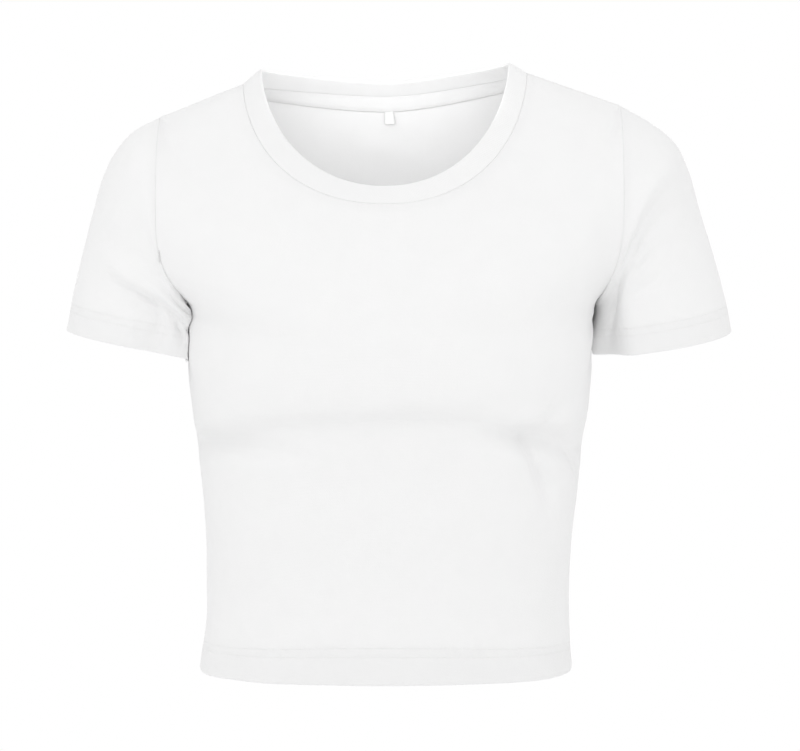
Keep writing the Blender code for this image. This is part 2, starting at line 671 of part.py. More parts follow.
def build():
    for thing in list(bpy.data.objects):
        bpy.data.objects.remove(thing, do_unlink=True)
    jersey = cloth_material("jersey", JERSEY_WHITE)
    rib = cloth_material("rib", RIB_WHITE)
    tape = cloth_material("tape", TAPE_WHITE)
    woven = cloth_material("label", LABEL_WHITE)

    front, back = folded_panels()
    sleeves = {name: sleeve_points(name, front, back) for name in ("right", "left")}
    band = neckband_points(front, back)

    front_facing, back_facing = grid_normals(front), grid_normals(back)
    sleeve_facing = {name: grid_normals(points, tube=True) for name, points in sleeves.items()}
    band_facing = grid_normals(band, tube=True)
    share_normals(front_facing, back_facing, sleeve_facing, band_facing)

    inside_back = back - back_facing * (JERSEY + LAY_GAP)
    below_hem = (np.arange(len(front)) <= 2)[:, None]
    body_wall = np.where(below_hem, DOUBLE, JERSEY)

    for name, points, facing in (("front", front, front_facing), ("back", back, back_facing)):
        inset(points, facing, panel_border(*points.shape[:2]))
        cloth_solid(name, points, walls(points, facing, body_wall), jersey)
    for name, points in sleeves.items():
        facing = sleeve_facing[name]
        hem_rows = math.ceil(CUFF_DEPTH / SLEEVE_ALONG * SLEEVE_STEPS)
        near_cuff = (np.arange(SLEEVE_STEPS + 1) >= SLEEVE_STEPS - hem_rows)[:, None]
        inset(points, facing, [(0, j) for j in range(points.shape[1] - 1)])
        points[:, -1] = points[:, 0]
        wall = walls(points, facing, np.where(near_cuff, DOUBLE, JERSEY))
        cloth_solid("sleeve_" + name, points, wall, jersey, tube=True)
    inset(band, band_facing, [(0, j) for j in range(band.shape[1] - 1)])
    band[:, -1] = band[:, 0]
    cloth_solid("neckband", band, walls(band, band_facing, DOUBLE), rib, tube=True)
    build_tape_and_label(inside_back, back_facing, tape, woven)


def share_normals(front, back, sleeves, band):
    """Gives pieces that meet at a seam one common normal along it."""
    body = slice(0, BODY_STEPS + 1)
    yoke = slice(BODY_STEPS + ARMHOLE_STEPS, None)
    for rows in (body, yoke):
        for front_edge, back_edge in ((-1, 0), (0, -1)):
            common = unit(front[rows, front_edge] + back[rows, back_edge])
            front[rows, front_edge] = back[rows, back_edge] = common
    arm = range(BODY_STEPS, BODY_STEPS + ARMHOLE_STEPS + 1)
    for name, facing in sleeves.items():
        loop = facing[0] if name == "right" else facing[0][::-1]
        front_edge, back_edge = (0, -1) if name == "right" else (-1, 0)
        loop = unit(loop + armhole_loop(name, front, back))
        for k, row in enumerate(arm):
            front[row, front_edge] = loop[k]
            back[row, back_edge] = loop[-1 - k]
        facing[0] = loop if name == "right" else loop[::-1]
    common = unit(band[0] + neck_loop(front, back))
    columns = front.shape[1]
    front[-1], back[-1] = common[:columns], common[columns - 1:]
    band[0] = common


def build_tape_and_label(inside, facing, tape, woven):
    """The neck tape inside the back neck, and the size label that hangs from under it."""
    across = np.arange(BACK_COLUMNS + 1, dtype=float)
    across[[0, -1]] = 0.15, BACK_COLUMNS - 0.15
    down = np.linspace(TAPE_INSET, TAPE_INSET + TAPE_WIDTH, TAPE_STEPS + 1)[::-1]
    points, normals = down_the_back(inside, facing, down, across)
    cloth_solid("neck_tape", points, walls(points, normals, TRIM), tape)

    # The back's middle column is at centre back, and its columns run from left to right.
    middle = BACK_COLUMNS / 2
    pitch = np.linalg.norm(inside[-3, int(middle)] - inside[-3, int(middle) + 1])
    sides = LABEL_CENTRE + LABEL_WIDTH * np.array([0.5, 0.0, -0.5])
    top = TAPE_INSET + TAPE_WIDTH + LAY_GAP
    down = np.linspace(top, top + LABEL_LENGTH, LABEL_STEPS + 1)[::-1]
    points, normals = down_the_back(inside, facing, down, middle - sides / pitch)
    hang = LABEL_STAND_OFF * np.linspace(1, 0, LABEL_STEPS + 1) ** 2
    points -= normals * hang[:, None, None]
    cloth_solid("size_label", points, walls(points, normals, TRIM), woven)


build()
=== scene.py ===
"""Crop top: the cloth, sewing and finish laid on its solid pieces.

The wearer's left is +X, the front is -Y and up is +Z. Sizes are in millimetres until a
piece's points are written, which is in metres.
"""

import math
from collections import namedtuple

import bmesh
import bpy
import numpy as np
from mathutils import Matrix, Vector, noise


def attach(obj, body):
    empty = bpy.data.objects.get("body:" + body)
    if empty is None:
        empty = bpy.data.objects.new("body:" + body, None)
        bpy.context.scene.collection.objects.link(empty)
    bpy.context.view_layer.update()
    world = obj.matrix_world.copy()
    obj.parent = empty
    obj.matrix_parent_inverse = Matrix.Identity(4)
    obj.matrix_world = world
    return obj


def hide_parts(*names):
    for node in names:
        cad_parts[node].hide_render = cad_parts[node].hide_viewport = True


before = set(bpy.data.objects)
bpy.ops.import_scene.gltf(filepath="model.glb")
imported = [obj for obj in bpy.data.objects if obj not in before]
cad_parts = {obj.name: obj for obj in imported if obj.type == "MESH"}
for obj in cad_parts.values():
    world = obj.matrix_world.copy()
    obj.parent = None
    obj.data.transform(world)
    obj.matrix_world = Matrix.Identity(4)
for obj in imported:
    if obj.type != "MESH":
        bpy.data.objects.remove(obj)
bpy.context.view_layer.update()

MM = 0.001


def table(columns, *rows):
    """A table with named columns, a row for each section, fold or light."""
    kind = namedtuple("Row", columns)
    return [kind(*row) for row in rows]


# ================================================================ the form of the top

SLEEVE_CLEAR = 0.8  # between a sleeve and the side of the body
SLEEVE_CLEAR_RISE = 16.0  # height over which that starts, above the underarm

# Body lengths, as heights above the origin
HEM_HEIGHT = -438.0
HEM_DIP = 1.2  # how much lower the hem hangs at centre front and back than at the sides
HEM_DIP_RISE = 90.0  # height over which that dip fades out
HEM_DEPTH = 25.0  # turned-up hem of the body
LEVEL_UP_TO = -262.0  # sections are level up to here, and dip at their centres above
UNDERARM_DIP = 26.0  # how far the underarm section dips at centre front and back

# Neck
NECK_SEAM_WIDTH = 103.0  # centre line to the neck seam at the shoulder
NECK_EDGE_WIDTH = 90.0  # centre line to the finished neck edge at the shoulder
NECK_SQUARE = 2.1  # how square the neck edge is (2 is an ellipse)
NECK_SHIFT = -2.0  # the neck opening sits this far to the wearer's right
FRONT_NECK_SEAM = -101.0
FRONT_NECK_EDGE = -88.0
FRONT_NECK_EDGE_DEPTH = 61.0
BACK_NECK_SEAM = -19.5
BACK_NECK_EDGE = -10.0
BACK_NECK_EDGE_DEPTH = 55.0
FRONT_YOKE = -127.0  # centre front of the section through the shoulder points
BACK_YOKE = -58.0  # centre back of the same section
TAPE_WIDTH = 12.0
TAPE_INSET = 1.2  # the tape stops this far from the shoulder and neck seams
LABEL_WIDTH = 7.5
LABEL_LENGTH = 8.5
LABEL_CENTRE = 2.1  # the label sits this far to the wearer's left of centre back
LABEL_STAND_OFF = 1.2  # how far the label's free end stands away from the back
LABEL_DEPTH = 1.9  # how far it lies below the outer face of the back where it starts
LABEL_ROWS = 14
LABEL_COLUMNS = 7
LABEL_ROW = -18  # the row of the back at which it hangs

# Armholes
ARMHOLE_FRONT = 56.0  # how far the armhole reaches forward
ARMHOLE_BACK = 54.0  # and back
ARMHOLE_BELLY = 0.25  # the armhole is this much wider low down than high up
ARMHOLE_HOOK = 7.8  # how late the seam turns in towards the underarm
ARMHOLE_PIVOT = 1.0  # flattens the sections that end on the armhole

# How round a section crosses its side seam or the ridge of the shoulder
SIDE_ROUNDING = 0.05
SHOULDER_ROUNDING = 0.5
NECK_ROUNDING = 0.14
STRAIGHT_ROUNDING = 0.25  # the bend at centre back of a neckline that rises in a straight line

# The right and the left side of the body: the points where seams meet, and the neck edge on
# the shoulder.
RIGHT, LEFT = table(
    "name sign neck_edge_z neck_seam_z shoulder_x shoulder_z underarm_x underarm_z",
    ("right", -1, -3, -14, 165, -38, 147, -172),
    ("left", +1, 1.5, -6, 168, -29.5, 149.5, -172),
)
SIDES = {"right": RIGHT, "left": LEFT}
UNDERARM = LEFT.underarm_z

# How a sleeve lies at its armpit: how full the armhole and the sleeve are low down in front
# (1 is an ellipse, and less is squarer), and how closely the sleeve follows the chest there.
ARMPITS = dict(zip(SIDES, table("curve follow", (0.3, 1.0), (1.0, 0.0))))

# Half widths of the body at its side seams.
SIDE_SEAMS = table(
    "height right left",
    (-438, 137.6, 135.5),
    (-425, 135.6, 134),
    (-408, 132.8, 132.6),
    (-375, 132.1, 132),
    (-340, 132.3, 134.6),
    (-302, 135.6, 138.8),
    (-262, 140.4, 143.4),
    (-220, 144.9, 148.2),
    (-190, 147, 149.5),
    (-172, 147, 149.5),
)

# Centre-front and centre-back profiles: distance from the side seams, and how square the
# section is there (2 is an ellipse).
PROFILES = table(
    "height front back square",
    (-438, 95, 79.5, 2.6),
    (-405, 93, 74, 2.6),
    (-365, 91.5, 73, 2.65),
    (-325, 92.5, 77, 2.7),
    (-295, 94, 82, 2.75),
    (-272, 97.5, 85.5, 2.8),
    (-250, 103, 89, 2.8),
    (-228, 106.5, 92, 2.8),
    (-200, 106.5, 95, 2.8),
    (-172, 103, 98, 2.65),
    (-140, 92.5, 98.5, 2.4),
    (-101, 71, 93, 2.2),
    (-60, 52, 82, 2.1),
    (-19.5, 32, 65, 2.1),
)

# Sleeve sections from the armhole to the cuff: the outer and the inner point seen from the
# front, half the depth, the middle's place front to back, and how much lower the front hangs.
SLEEVE_SECTION = "along outer_x outer_z inner_x inner_z half_depth middle_y droop"
SLEEVES = {
    "right": table(
        SLEEVE_SECTION,
        (0, 165, -38, 147, -172, 52, 2, 0),
        (0.12, 184, -48, 147.5, -178, 54, 1, 1),
        (0.25, 197.5, -63, 146.5, -184, 55, 1, 2),
        (0.38, 206.5, -81, 145, -190, 55, 1, 2),
        (0.52, 213.5, -104.5, 143, -195.5, 55, 2, 2),
        (0.68, 220.5, -130.5, 141, -202.5, 55, 2, 2),
        (0.85, 228.5, -163.5, 140, -208.5, 54, 2, 1.5),
        (1, 234.5, -192.5, 139, -213.5, 53, 2, 1),
    ),
    "left": table(
        SLEEVE_SECTION,
        (0, 168, -29.5, 149.5, -172, 52, 2, 0),
        (0.12, 190.5, -42, 150.5, -177, 53, 3, 1),
        (0.25, 208.5, -56.5, 150, -183, 53, 4, 2),
        (0.38, 218.5, -76, 148.5, -188.5, 52, 5, 2),
        (0.52, 226, -101, 146.5, -194.5, 51, 6, 2),
        (0.68, 234.5, -128.5, 145, -200, 50, 6, 2.5),
        (0.85, 244.5, -163.5, 144.5, -204.5, 48, 6, 4),
        (1, 251, -193.5, 144.5, -209.5, 46, 6, 5),
    ),
}
ARMHOLE_FADE = 0.6  # share of the sleeve over which the armhole's own outline fades out

# Folds on the body: a soft trough (or, with a negative depth, a ridge) between two points.
# Places round the body are in degrees: 0 is centre front, 90 the left side seam and armhole,
# -90 the right ones and 180 centre back.
FOLD = "start_round start_up end_round end_up half_width depth"
BODY_FOLDS = table(
    FOLD,
    (-66, -286, 66, -286, 28, 2.6),  # the hollow under the bust
    (-84, -273, -24, -257, 9, 2.6),  # the line under the bust, from right to left
    (-44, -259, 36, -252, 9, 2.8),
    (16, -253, 60, -268, 9, 2.6),
    (-76, -269, -34, -271, 9, 4.6),  # right end of it
    (38, -264, 60, -270, 9, 5.6),  # left end of it
    (48, -266, 58, -238, 8, 2.2),
    (54, -272, 86, -274, 9, 2.6),
    (46, -272, 57, -316, 7, 3.8),  # drag lines down from the left end
    (63, -274, 80, -298, 7, 2.8),
    (-88, -196, -72, -222, 9, 1.4),  # below the right armpit
    (93, -184, 72, -228, 11, 3),  # below the left armpit
    (-150, -350, 174, -366, 15, 3.4),  # small of the back
    (152, -336, -172, -352, 14, 3),
    (-112, -322, -146, -346, 13, 2.6),
    (114, -314, 150, -340, 13, 2.8),
    (-132, -218, -158, -168, 14, 3),  # from the armpits to the shoulder blades
    (130, -224, 160, -160, 14, 2.6),
)

# Soft flutes of the hem: place round the body, half width and how far the cloth swings out.
HEM_FLUTES = table(
    "place half_width swing",
    (-66, 17, 2.2),
    (-40, 20, 2.2),
    (-20, 20, -1.6),
    (-3, 32, 1.8),
    (27, 26, -1.6),
    (53, 18, 2.4),
    (82, 20, -1.2),
    (-118, 26, 2.2),
    (-150, 28, -2),
    (180, 36, 2),
    (150, 26, -1.8),
    (116, 26, 2.4),
)
FLUTE_RISE = 70.0  # height over which the flutes fade out
BODY_AROUND = 780.0  # girth of the body, which turns degrees round it into distances

# Folds on the sleeves: round is the angle from the underarm over the front, in degrees,
# and along runs from 0 at the armhole to 1 at the cuff.
SLEEVE_FOLDS = {
    "right": table(
        FOLD,
        (14, 0.3, 122, 0.65, 9, -4),  # the lip of the armpit fold
        (36, 0.54, 108, 0.8, 10, 5.5),  # the hollow under it
        (68, 0.98, 72, 1.4, 24, 7),  # set back above the cuff
        (92, 0.9, 92, 1.3, 10, -2.5),
        (250, 0.35, 320, 0.75, 12, 4),
    ),
    "left": table(
        FOLD,
        (60, 0.03, 142, 0.29, 9, -2.2),  # across the front of the upper arm
        (60, 0.19, 140, 0.45, 9, 3.4),
        (40, 0.14, 36, 1.3, 15, 8.5),  # the side that turns in towards the body
        (68, 0.3, 66, 1.3, 10, -3),
        (245, 0.3, 318, 0.72, 12, 4),
    ),
}
SLEEVE_AROUND = 300.0  # girth of a sleeve, which turns angles into distances
SLEEVE_ALONG = 130.0  # mean length of a sleeve, which turns shares into distances

# Mesh steps
TURN = 2 * math.pi
HEM_STEPS = 2
BODY_STEPS = 23  # hem to underarm
ROWS_CLOSEST_AT = 0.61  # the fold under the bust, as a share of the way up from the hem line
ROWS_CLOSER = 0.4  # how much closer together the rows are there
ARMHOLE_STEPS = 15  # underarm to shoulder point
SHOULDER_STEPS = 5  # shoulder point to neck seam
NECK_STEP = BODY_STEPS + ARMHOLE_STEPS + SHOULDER_STEPS
FRONT_COLUMNS = 34
BACK_COLUMNS = 26
RELAX_TURNS = 8  # rounds of evening out in the yoke


def cubic(start, end, slope_in, slope_out, u, width=1.0):
    """A smooth curve between two values, from its slopes there; u runs from 0 to 1."""
    ends = start * (1 + 2 * u) * (1 - u) ** 2 + end * u**2 * (3 - 2 * u)
    return ends + width * u * (1 - u) * (slope_in * (1 - u) - slope_out * u)


def through(knots, values, at):
    """Smooth curve through a table's values."""
    knots, values = np.asarray(knots, float), np.asarray(values, float)
    slopes = np.gradient(values, knots)
    k = np.clip(np.searchsorted(knots, at) - 1, 0, len(knots) - 2)
    width = knots[k + 1] - knots[k]
    u = (at - knots[k]) / width
    return cubic(values[k], values[k + 1], slopes[k], slopes[k + 1], u, width)


def column(rows, name, at, key="height"):
    """One named column of a table, read at a place between its rows."""
    return through([getattr(row, key) for row in rows], [getattr(row, name) for row in rows], at)


def smooth_step(share):
    share = np.clip(share, 0.0, 1.0)
    return share * share * (3 - 2 * share)


def unit(vectors):
    return vectors / np.linalg.norm(vectors, axis=-1, keepdims=True)


# ---------------------------------------------------------------- the body's sections


def chest_width(ahead, face):
    """Half width of the chest at a distance ahead of the side seams, as a share of the whole."""
    depth = column(PROFILES, "front" if face < 0 else "back", UNDERARM)
    square = column(PROFILES, "square", UNDERARM)
    return (1 - np.clip(ahead / depth, 0, 1) ** square) ** (1 / square)


def armhole_point(name, lift, face):
    """A point of the armhole seam; lift is 0 at the underarm and 1 at the shoulder point."""
    side = SIDES[name]
    turn = math.pi * (lift - 0.5)
    rise = (1 + math.sin(turn)) / 2
    reach = ARMHOLE_FRONT if face < 0 else ARMHOLE_BACK
    curve = ARMPITS[name].curve if face < 0 and lift < 0.5 else 1.0
    ahead = reach * max(0.0, math.cos(turn)) ** curve * (1 + ARMHOLE_BELLY * (0.5 - rise))
    low_x = side.underarm_x * chest_width(ahead, face)
    x = side.shoulder_x - (side.shoulder_x - low_x) * (1 - rise) ** ARMHOLE_HOOK
    z = side.underarm_z + (side.shoulder_z - side.underarm_z) * rise
    return x, face * ahead, z


def body_height(step):
    """Height of a section's side-seam point, for the steps from the hem to the underarm."""
    hem_line = HEM_HEIGHT + HEM_DEPTH
    if step <= HEM_STEPS:
        return HEM_HEIGHT + HEM_DEPTH * step / HEM_STEPS
    share = (step - HEM_STEPS) / (BODY_STEPS - HEM_STEPS)
    drawn = math.sin(TURN * (share - ROWS_CLOSEST_AT)) + math.sin(TURN * ROWS_CLOSEST_AT)
    return hem_line + (UNDERARM - hem_line) * (share - ROWS_CLOSER / TURN * drawn)


def shares_up(step):
    """How far a section is up the armhole, and up the shoulder, each from 0 to 1."""
    arm, shoulder = step - BODY_STEPS, step - BODY_STEPS - ARMHOLE_STEPS
    return min(max(arm / ARMHOLE_STEPS, 0), 1), min(max(shoulder / SHOULDER_STEPS, 0), 1)


def edge_point(name, step, face):
    """Where a section meets its side seam, armhole or shoulder seam, with x as a distance."""
    side = SIDES[name]
    arm, up = shares_up(step)
    if up:
        x = side.shoulder_x + (NECK_SEAM_WIDTH - side.shoulder_x) * up
        return x, 0.0, side.shoulder_z + (side.neck_seam_z - side.shoulder_z) * up
    if arm:
        return armhole_point(name, arm, face)
    height = body_height(step)
    return float(column(SIDE_SEAMS, name, height)), 0.0, height


def centre_height(step, face):
    """Height of a section at centre front or centre back."""
    arm, up = shares_up(step)
    if arm:
        yoke, neck = (FRONT_YOKE, FRONT_NECK_SEAM) if face < 0 else (BACK_YOKE, BACK_NECK_SEAM)
        underarm = UNDERARM - UNDERARM_DIP
        return underarm + (yoke - underarm) * arm + (neck - yoke) * up
    height = body_height(step)
    hem = HEM_DIP * (1 - smooth_step((height - HEM_HEIGHT) / HEM_DIP_RISE))
    dip = UNDERARM_DIP * smooth_step((height - LEVEL_UP_TO) / (UNDERARM - LEVEL_UP_TO))
    return height - hem - dip


def section_rounding(step):
    arm, up = shares_up(step)
    beside_arm = (SHOULDER_ROUNDING - SIDE_ROUNDING) * arm
    return SIDE_ROUNDING + beside_arm + (NECK_ROUNDING - SHOULDER_ROUNDING) * up


def half_section(edge, centre_z, depth, square, rounding, straight, face, steps):
    """Points of a section from its centre line to its edge, on a squared ellipse.

    It rises from its centre to its edge as it turns back; straight, from 0 to 1, makes it
    rise in a straight line as seen from the front instead, as the back of the neck does.
    """
    edge_x, edge_y, edge_z = edge
    pivot = ARMHOLE_PIVOT * abs(edge_y)
    reach = depth + pivot
    rest = (abs(edge_y) + pivot) / reach
    full = edge_x / (1 - rest**square) ** (1 / square)
    turn = np.linspace(0, math.atan2(edge_x / full, rest), steps + 1)
    radius = (np.sin(turn) ** square + np.cos(turn) ** square) ** (-1 / square)
    ahead = radius * np.cos(turn)

    def bend(share):
        return np.sqrt(share**2 + rounding**2)

    x = full * radius * np.sin(turn)
    y = face * (reach * ahead - pivot)
    turned_back = (bend(1) - bend(ahead)) / (bend(1) - bend(rest))
    seen_ahead = (np.hypot(x / edge_x, STRAIGHT_ROUNDING) - STRAIGHT_ROUNDING) / (
        math.hypot(1, STRAIGHT_ROUNDING) - STRAIGHT_ROUNDING
    )
    z = centre_z + (edge_z - centre_z) * ((1 - straight) * turned_back + straight * seen_ahead)
    return np.stack([x, y, z], axis=1)


def whole_section(edges, centre_z, depth, square, rounding, straight, face, columns):
    """A section from edge to edge, so that it runs right to left in front and back again behind."""
    halves = [
        half_section(edge, centre_z, depth, square, rounding, straight, face, columns // 2)
        for edge in edges
    ]
    right, left = halves
    right[:, 0] *= -1
    return np.concatenate([right[::-1], left[1:]])[:: -1 if face > 0 else 1]


def panel_points(face, columns):
    """The front (face -1) or back (face +1) as rows of points, from the hem to the neck seam."""
    rows = []
    for step in range(NECK_STEP + 1):
        height = centre_height(step, face)
        depth = float(column(PROFILES, "front" if face < 0 else "back", height))
        square = float(column(PROFILES, "square", height))
        edges = [edge_point(name, step, face) for name in ("right", "left")]
        rounding = section_rounding(step)
        above_armhole = shares_up(step)[1]
        straight = above_armhole if face > 0 else 0.0
        row = whole_section(edges, height, depth, square, rounding, straight, face, columns)
        row[:, 0] += NECK_SHIFT * smooth_step(above_armhole)
        rows.append(row)
    return relaxed(np.array(rows))


def degrees_round(points, face):
    """Place of each point round the body, from the share of its own section's length."""
    along = lengths_across(points)
    middle = points.shape[1] // 2
    first = along[:, : middle + 1] / along[:, middle : middle + 1]
    second = (along[:, middle:] - along[:, middle : middle + 1]) / (
        along[:, -1:] - along[:, middle : middle + 1]
    )
    if face < 0:
        return np.concatenate([90 * first - 90, 90 * second[:, 1:]], axis=1)
    return np.concatenate([90 + 90 * first, 180 + 90 * second[:, 1:]], axis=1)


def relaxed(points):
    """Evens out the yoke between its seams, as the cloth over the shoulders does."""
    rows = len(points)
    yield_to = smooth_step((np.arange(rows) - BODY_STEPS + 4) / 10)[1:-1, None, None]
    for _ in range(RELAX_TURNS):
        across = points[1:-1, 2:] + points[1:-1, :-2]
        along = points[2:, 1:-1] + points[:-2, 1:-1]
        pull = (across + along) / 4 - points[1:-1, 1:-1]
        points[1:-1, 1:-1] += 0.6 * yield_to * pull
    return points


def grid_normals(points, tube=False):
    """Unit normals of a grid of points, outwards when its rows run right to left in front."""
    if tube:
        across = np.roll(points[:, :-1], -1, axis=1) - np.roll(points[:, :-1], 1, axis=1)
        across = np.concatenate([across, across[:, :1]], axis=1)
    else:
        across = np.gradient(points, axis=1)
    return unit(np.cross(across, np.gradient(points, axis=0)))


# ---------------------------------------------------------------- folds


def fold_depth(across, up, start, end, fold):
    """Depth of one fold at each point. A soft fold fades at its ends and sides, and a crease is
    a rounded groove that tapers to nothing, with a lip on one side."""
    run, rise = end[0] - start[0], end[1] - start[1]
    length = math.hypot(run, rise)
    share = ((across - start[0]) * run + (up - start[1]) * rise) / length**2
    inside = np.clip(share, 0, 1)
    if not hasattr(fold, "lip"):
        off = np.hypot(across - start[0] - inside * run, up - start[1] - inside * rise)
        ends = 0.35 + 0.65 * np.sin(math.pi * inside)
        return fold.depth * ends * np.exp(-((off / fold.half_width) ** 2))
    off = ((up - start[1]) * run - (across - start[0]) * rise) / length
    off = off - fold.bend * 4 * inside * (1 - inside)
    taper = np.sin(math.pi * inside) ** 0.8 * (1 - 0.35 * inside)
    width = fold.half_width * (0.7 + 0.6 * inside)
    groove = np.exp(-((off / width) ** 2))
    lip = abs(fold.lip) * np.exp(-(((off - np.sign(fold.lip) * 1.9 * width) / (1.3 * width)) ** 2))
    return fold.depth * taper * (groove - lip)


def turned(place, middle):
    """Distance round the body from a middle place, the short way."""
    return ((place - middle + 180) % 360 - 180) * BODY_AROUND / 360


def body_depth(folds, place, height):
    """Depth of a table of folds at places round the body."""
    total = np.zeros_like(place)
    for fold in folds:
        middle = fold.start_round + turned(fold.end_round, fold.start_round) / BODY_AROUND * 180
        start = turned(fold.start_round, middle), fold.start_up
        end = turned(fold.end_round, middle), fold.end_up
        total += fold_depth(turned(place, middle), height, start, end, fold)
    return total


def flute_swing(place, height):
    """How far the flutes swing the hem out."""
    rise = np.clip((height - HEM_HEIGHT) / FLUTE_RISE, 0, 1)
    bumps = (
        flute.swing * np.exp(-((turned(place, flute.place) / flute.half_width) ** 2))
        for flute in HEM_FLUTES
    )
    return sum(bumps) * (1 - rise) ** 2


# ---------------------------------------------------------------- sleeves


def sleeve_ring(name, along, turn):
    """A sleeve's smooth section; turn runs from the underarm over the front and back again."""
    sections, sign = SLEEVES[name], SIDES[name].sign
    outer_x, outer_z, inner_x, inner_z, half_depth, middle_y, droop = (
        float(column(sections, field, along, "along")) for field in SLEEVE_SECTION.split()[1:]
    )
    armpit = ARMPITS[name]
    over = (1 - np.cos(turn)) / 2
    ahead = np.where(turn < math.pi / 2, np.abs(np.sin(turn)) ** armpit.curve, np.sin(turn))
    y = middle_y - half_depth * ahead
    beside_chest = 1 - armpit.follow * (1 - chest_width(-y, -1))
    x = sign * (inner_x * beside_chest + (outer_x - inner_x * beside_chest) * over)
    z = inner_z + (outer_z - inner_z) * over - droop * np.sin(turn)
    return np.stack([x, y, z], axis=1)


def clear_of_body(name, points, front, back):
    """A sleeve's points, moved off the side of the body where the arm presses them on it."""
    side = SIDES[name]
    surface = np.concatenate([front.reshape(-1, 3), back.reshape(-1, 3)])
    facing = np.concatenate([grid_normals(panel).reshape(-1, 3) for panel in (front, back)])
    top = side.underarm_z + SLEEVE_CLEAR_RISE
    beside = (side.sign * surface[:, 0] > side.underarm_x / 2) & (surface[:, 2] < top)
    surface, facing = surface[beside], facing[beside]
    cleared = points.copy()
    for p in cleared.reshape(-1, 3):
        if p[2] < top:
            nearest = np.argmin(((surface - p) ** 2).sum(axis=1))
            off = (p - surface[nearest]) @ facing[nearest]
            share = smooth_step((top - p[2]) / SLEEVE_CLEAR_RISE)
            p += facing[nearest] * max(0.0, SLEEVE_CLEAR - off) * share
    return cleared


# ================================================================ the cloth

CLOTH = 0.7  # thickness of the jersey itself
RIB = 0.75  # and of the rib
TAPE = 0.6
RIBBON = 0.25
STRIP = 0.5  # and of looper threads and overlocked edges
STRIP_ARCH = 0.3  # how much further in their middle lies than their edges
BAND_BULGE = 0.2  # how far the neckband swells between its seam and its edge
TAPE_DEPTH = 1.75  # how far the tape lies below the outer face of the back
TAPE_NEEDLES = 1.8  # how far its two rows of stitches are in from its edges
TAPE_STITCH = 2.6
TAPE_ROWS = 15
TAPE_ENDS = 6  # columns of the back that the tape leaves free at each shoulder
EDGE_DIP = (0.35, 1.2)  # how deep and how far the tape dips at its edges,
STITCH_DIP = (0.2, 0.7)  # and at its stitches
FOLD_RADIUS = 0.9  # outer radius of a turned-up edge
HEM_RAW_EDGE = 27.0  # the turned-up edge ends this far above the fold
NEEDLES = (20.0, 26.0)  # the two needle rows of the body hem, above its fold
HEM_NARROWS = 0.2  # share by which the hem gets narrower towards the side seams
CUFF_RAW_EDGE = 21.0
CUFF_NEEDLES = (14.5, 20.0)
STITCH = 2.9  # stitch length
STITCH_SHARE = 0.82  # of the stitch length that its thread takes up
STITCH_LIFT = 0.02  # how far its middle stands above the cloth
THREAD = 0.3  # thread thickness

ACROSS = {"front": 5, "back": 6}  # fine columns between two of the solid's columns
EDGE_PLACES = (0.0, 0.05, 0.12, 0.22, 0.38, 0.6)  # extra columns beside a seam
SEAM_SINK = 0.03  # how far a seam lies below the cloth beside it
SEAM_WIDTH = 1.3
ALLOWANCE = 6.0  # width of an overlocked seam allowance
ALLOWANCE_ROWS = np.linspace(0.2, ALLOWANCE, 5)
LOOPS_PAST_NEEDLE = 1.5  # how far the looper threads reach below the lower needle row

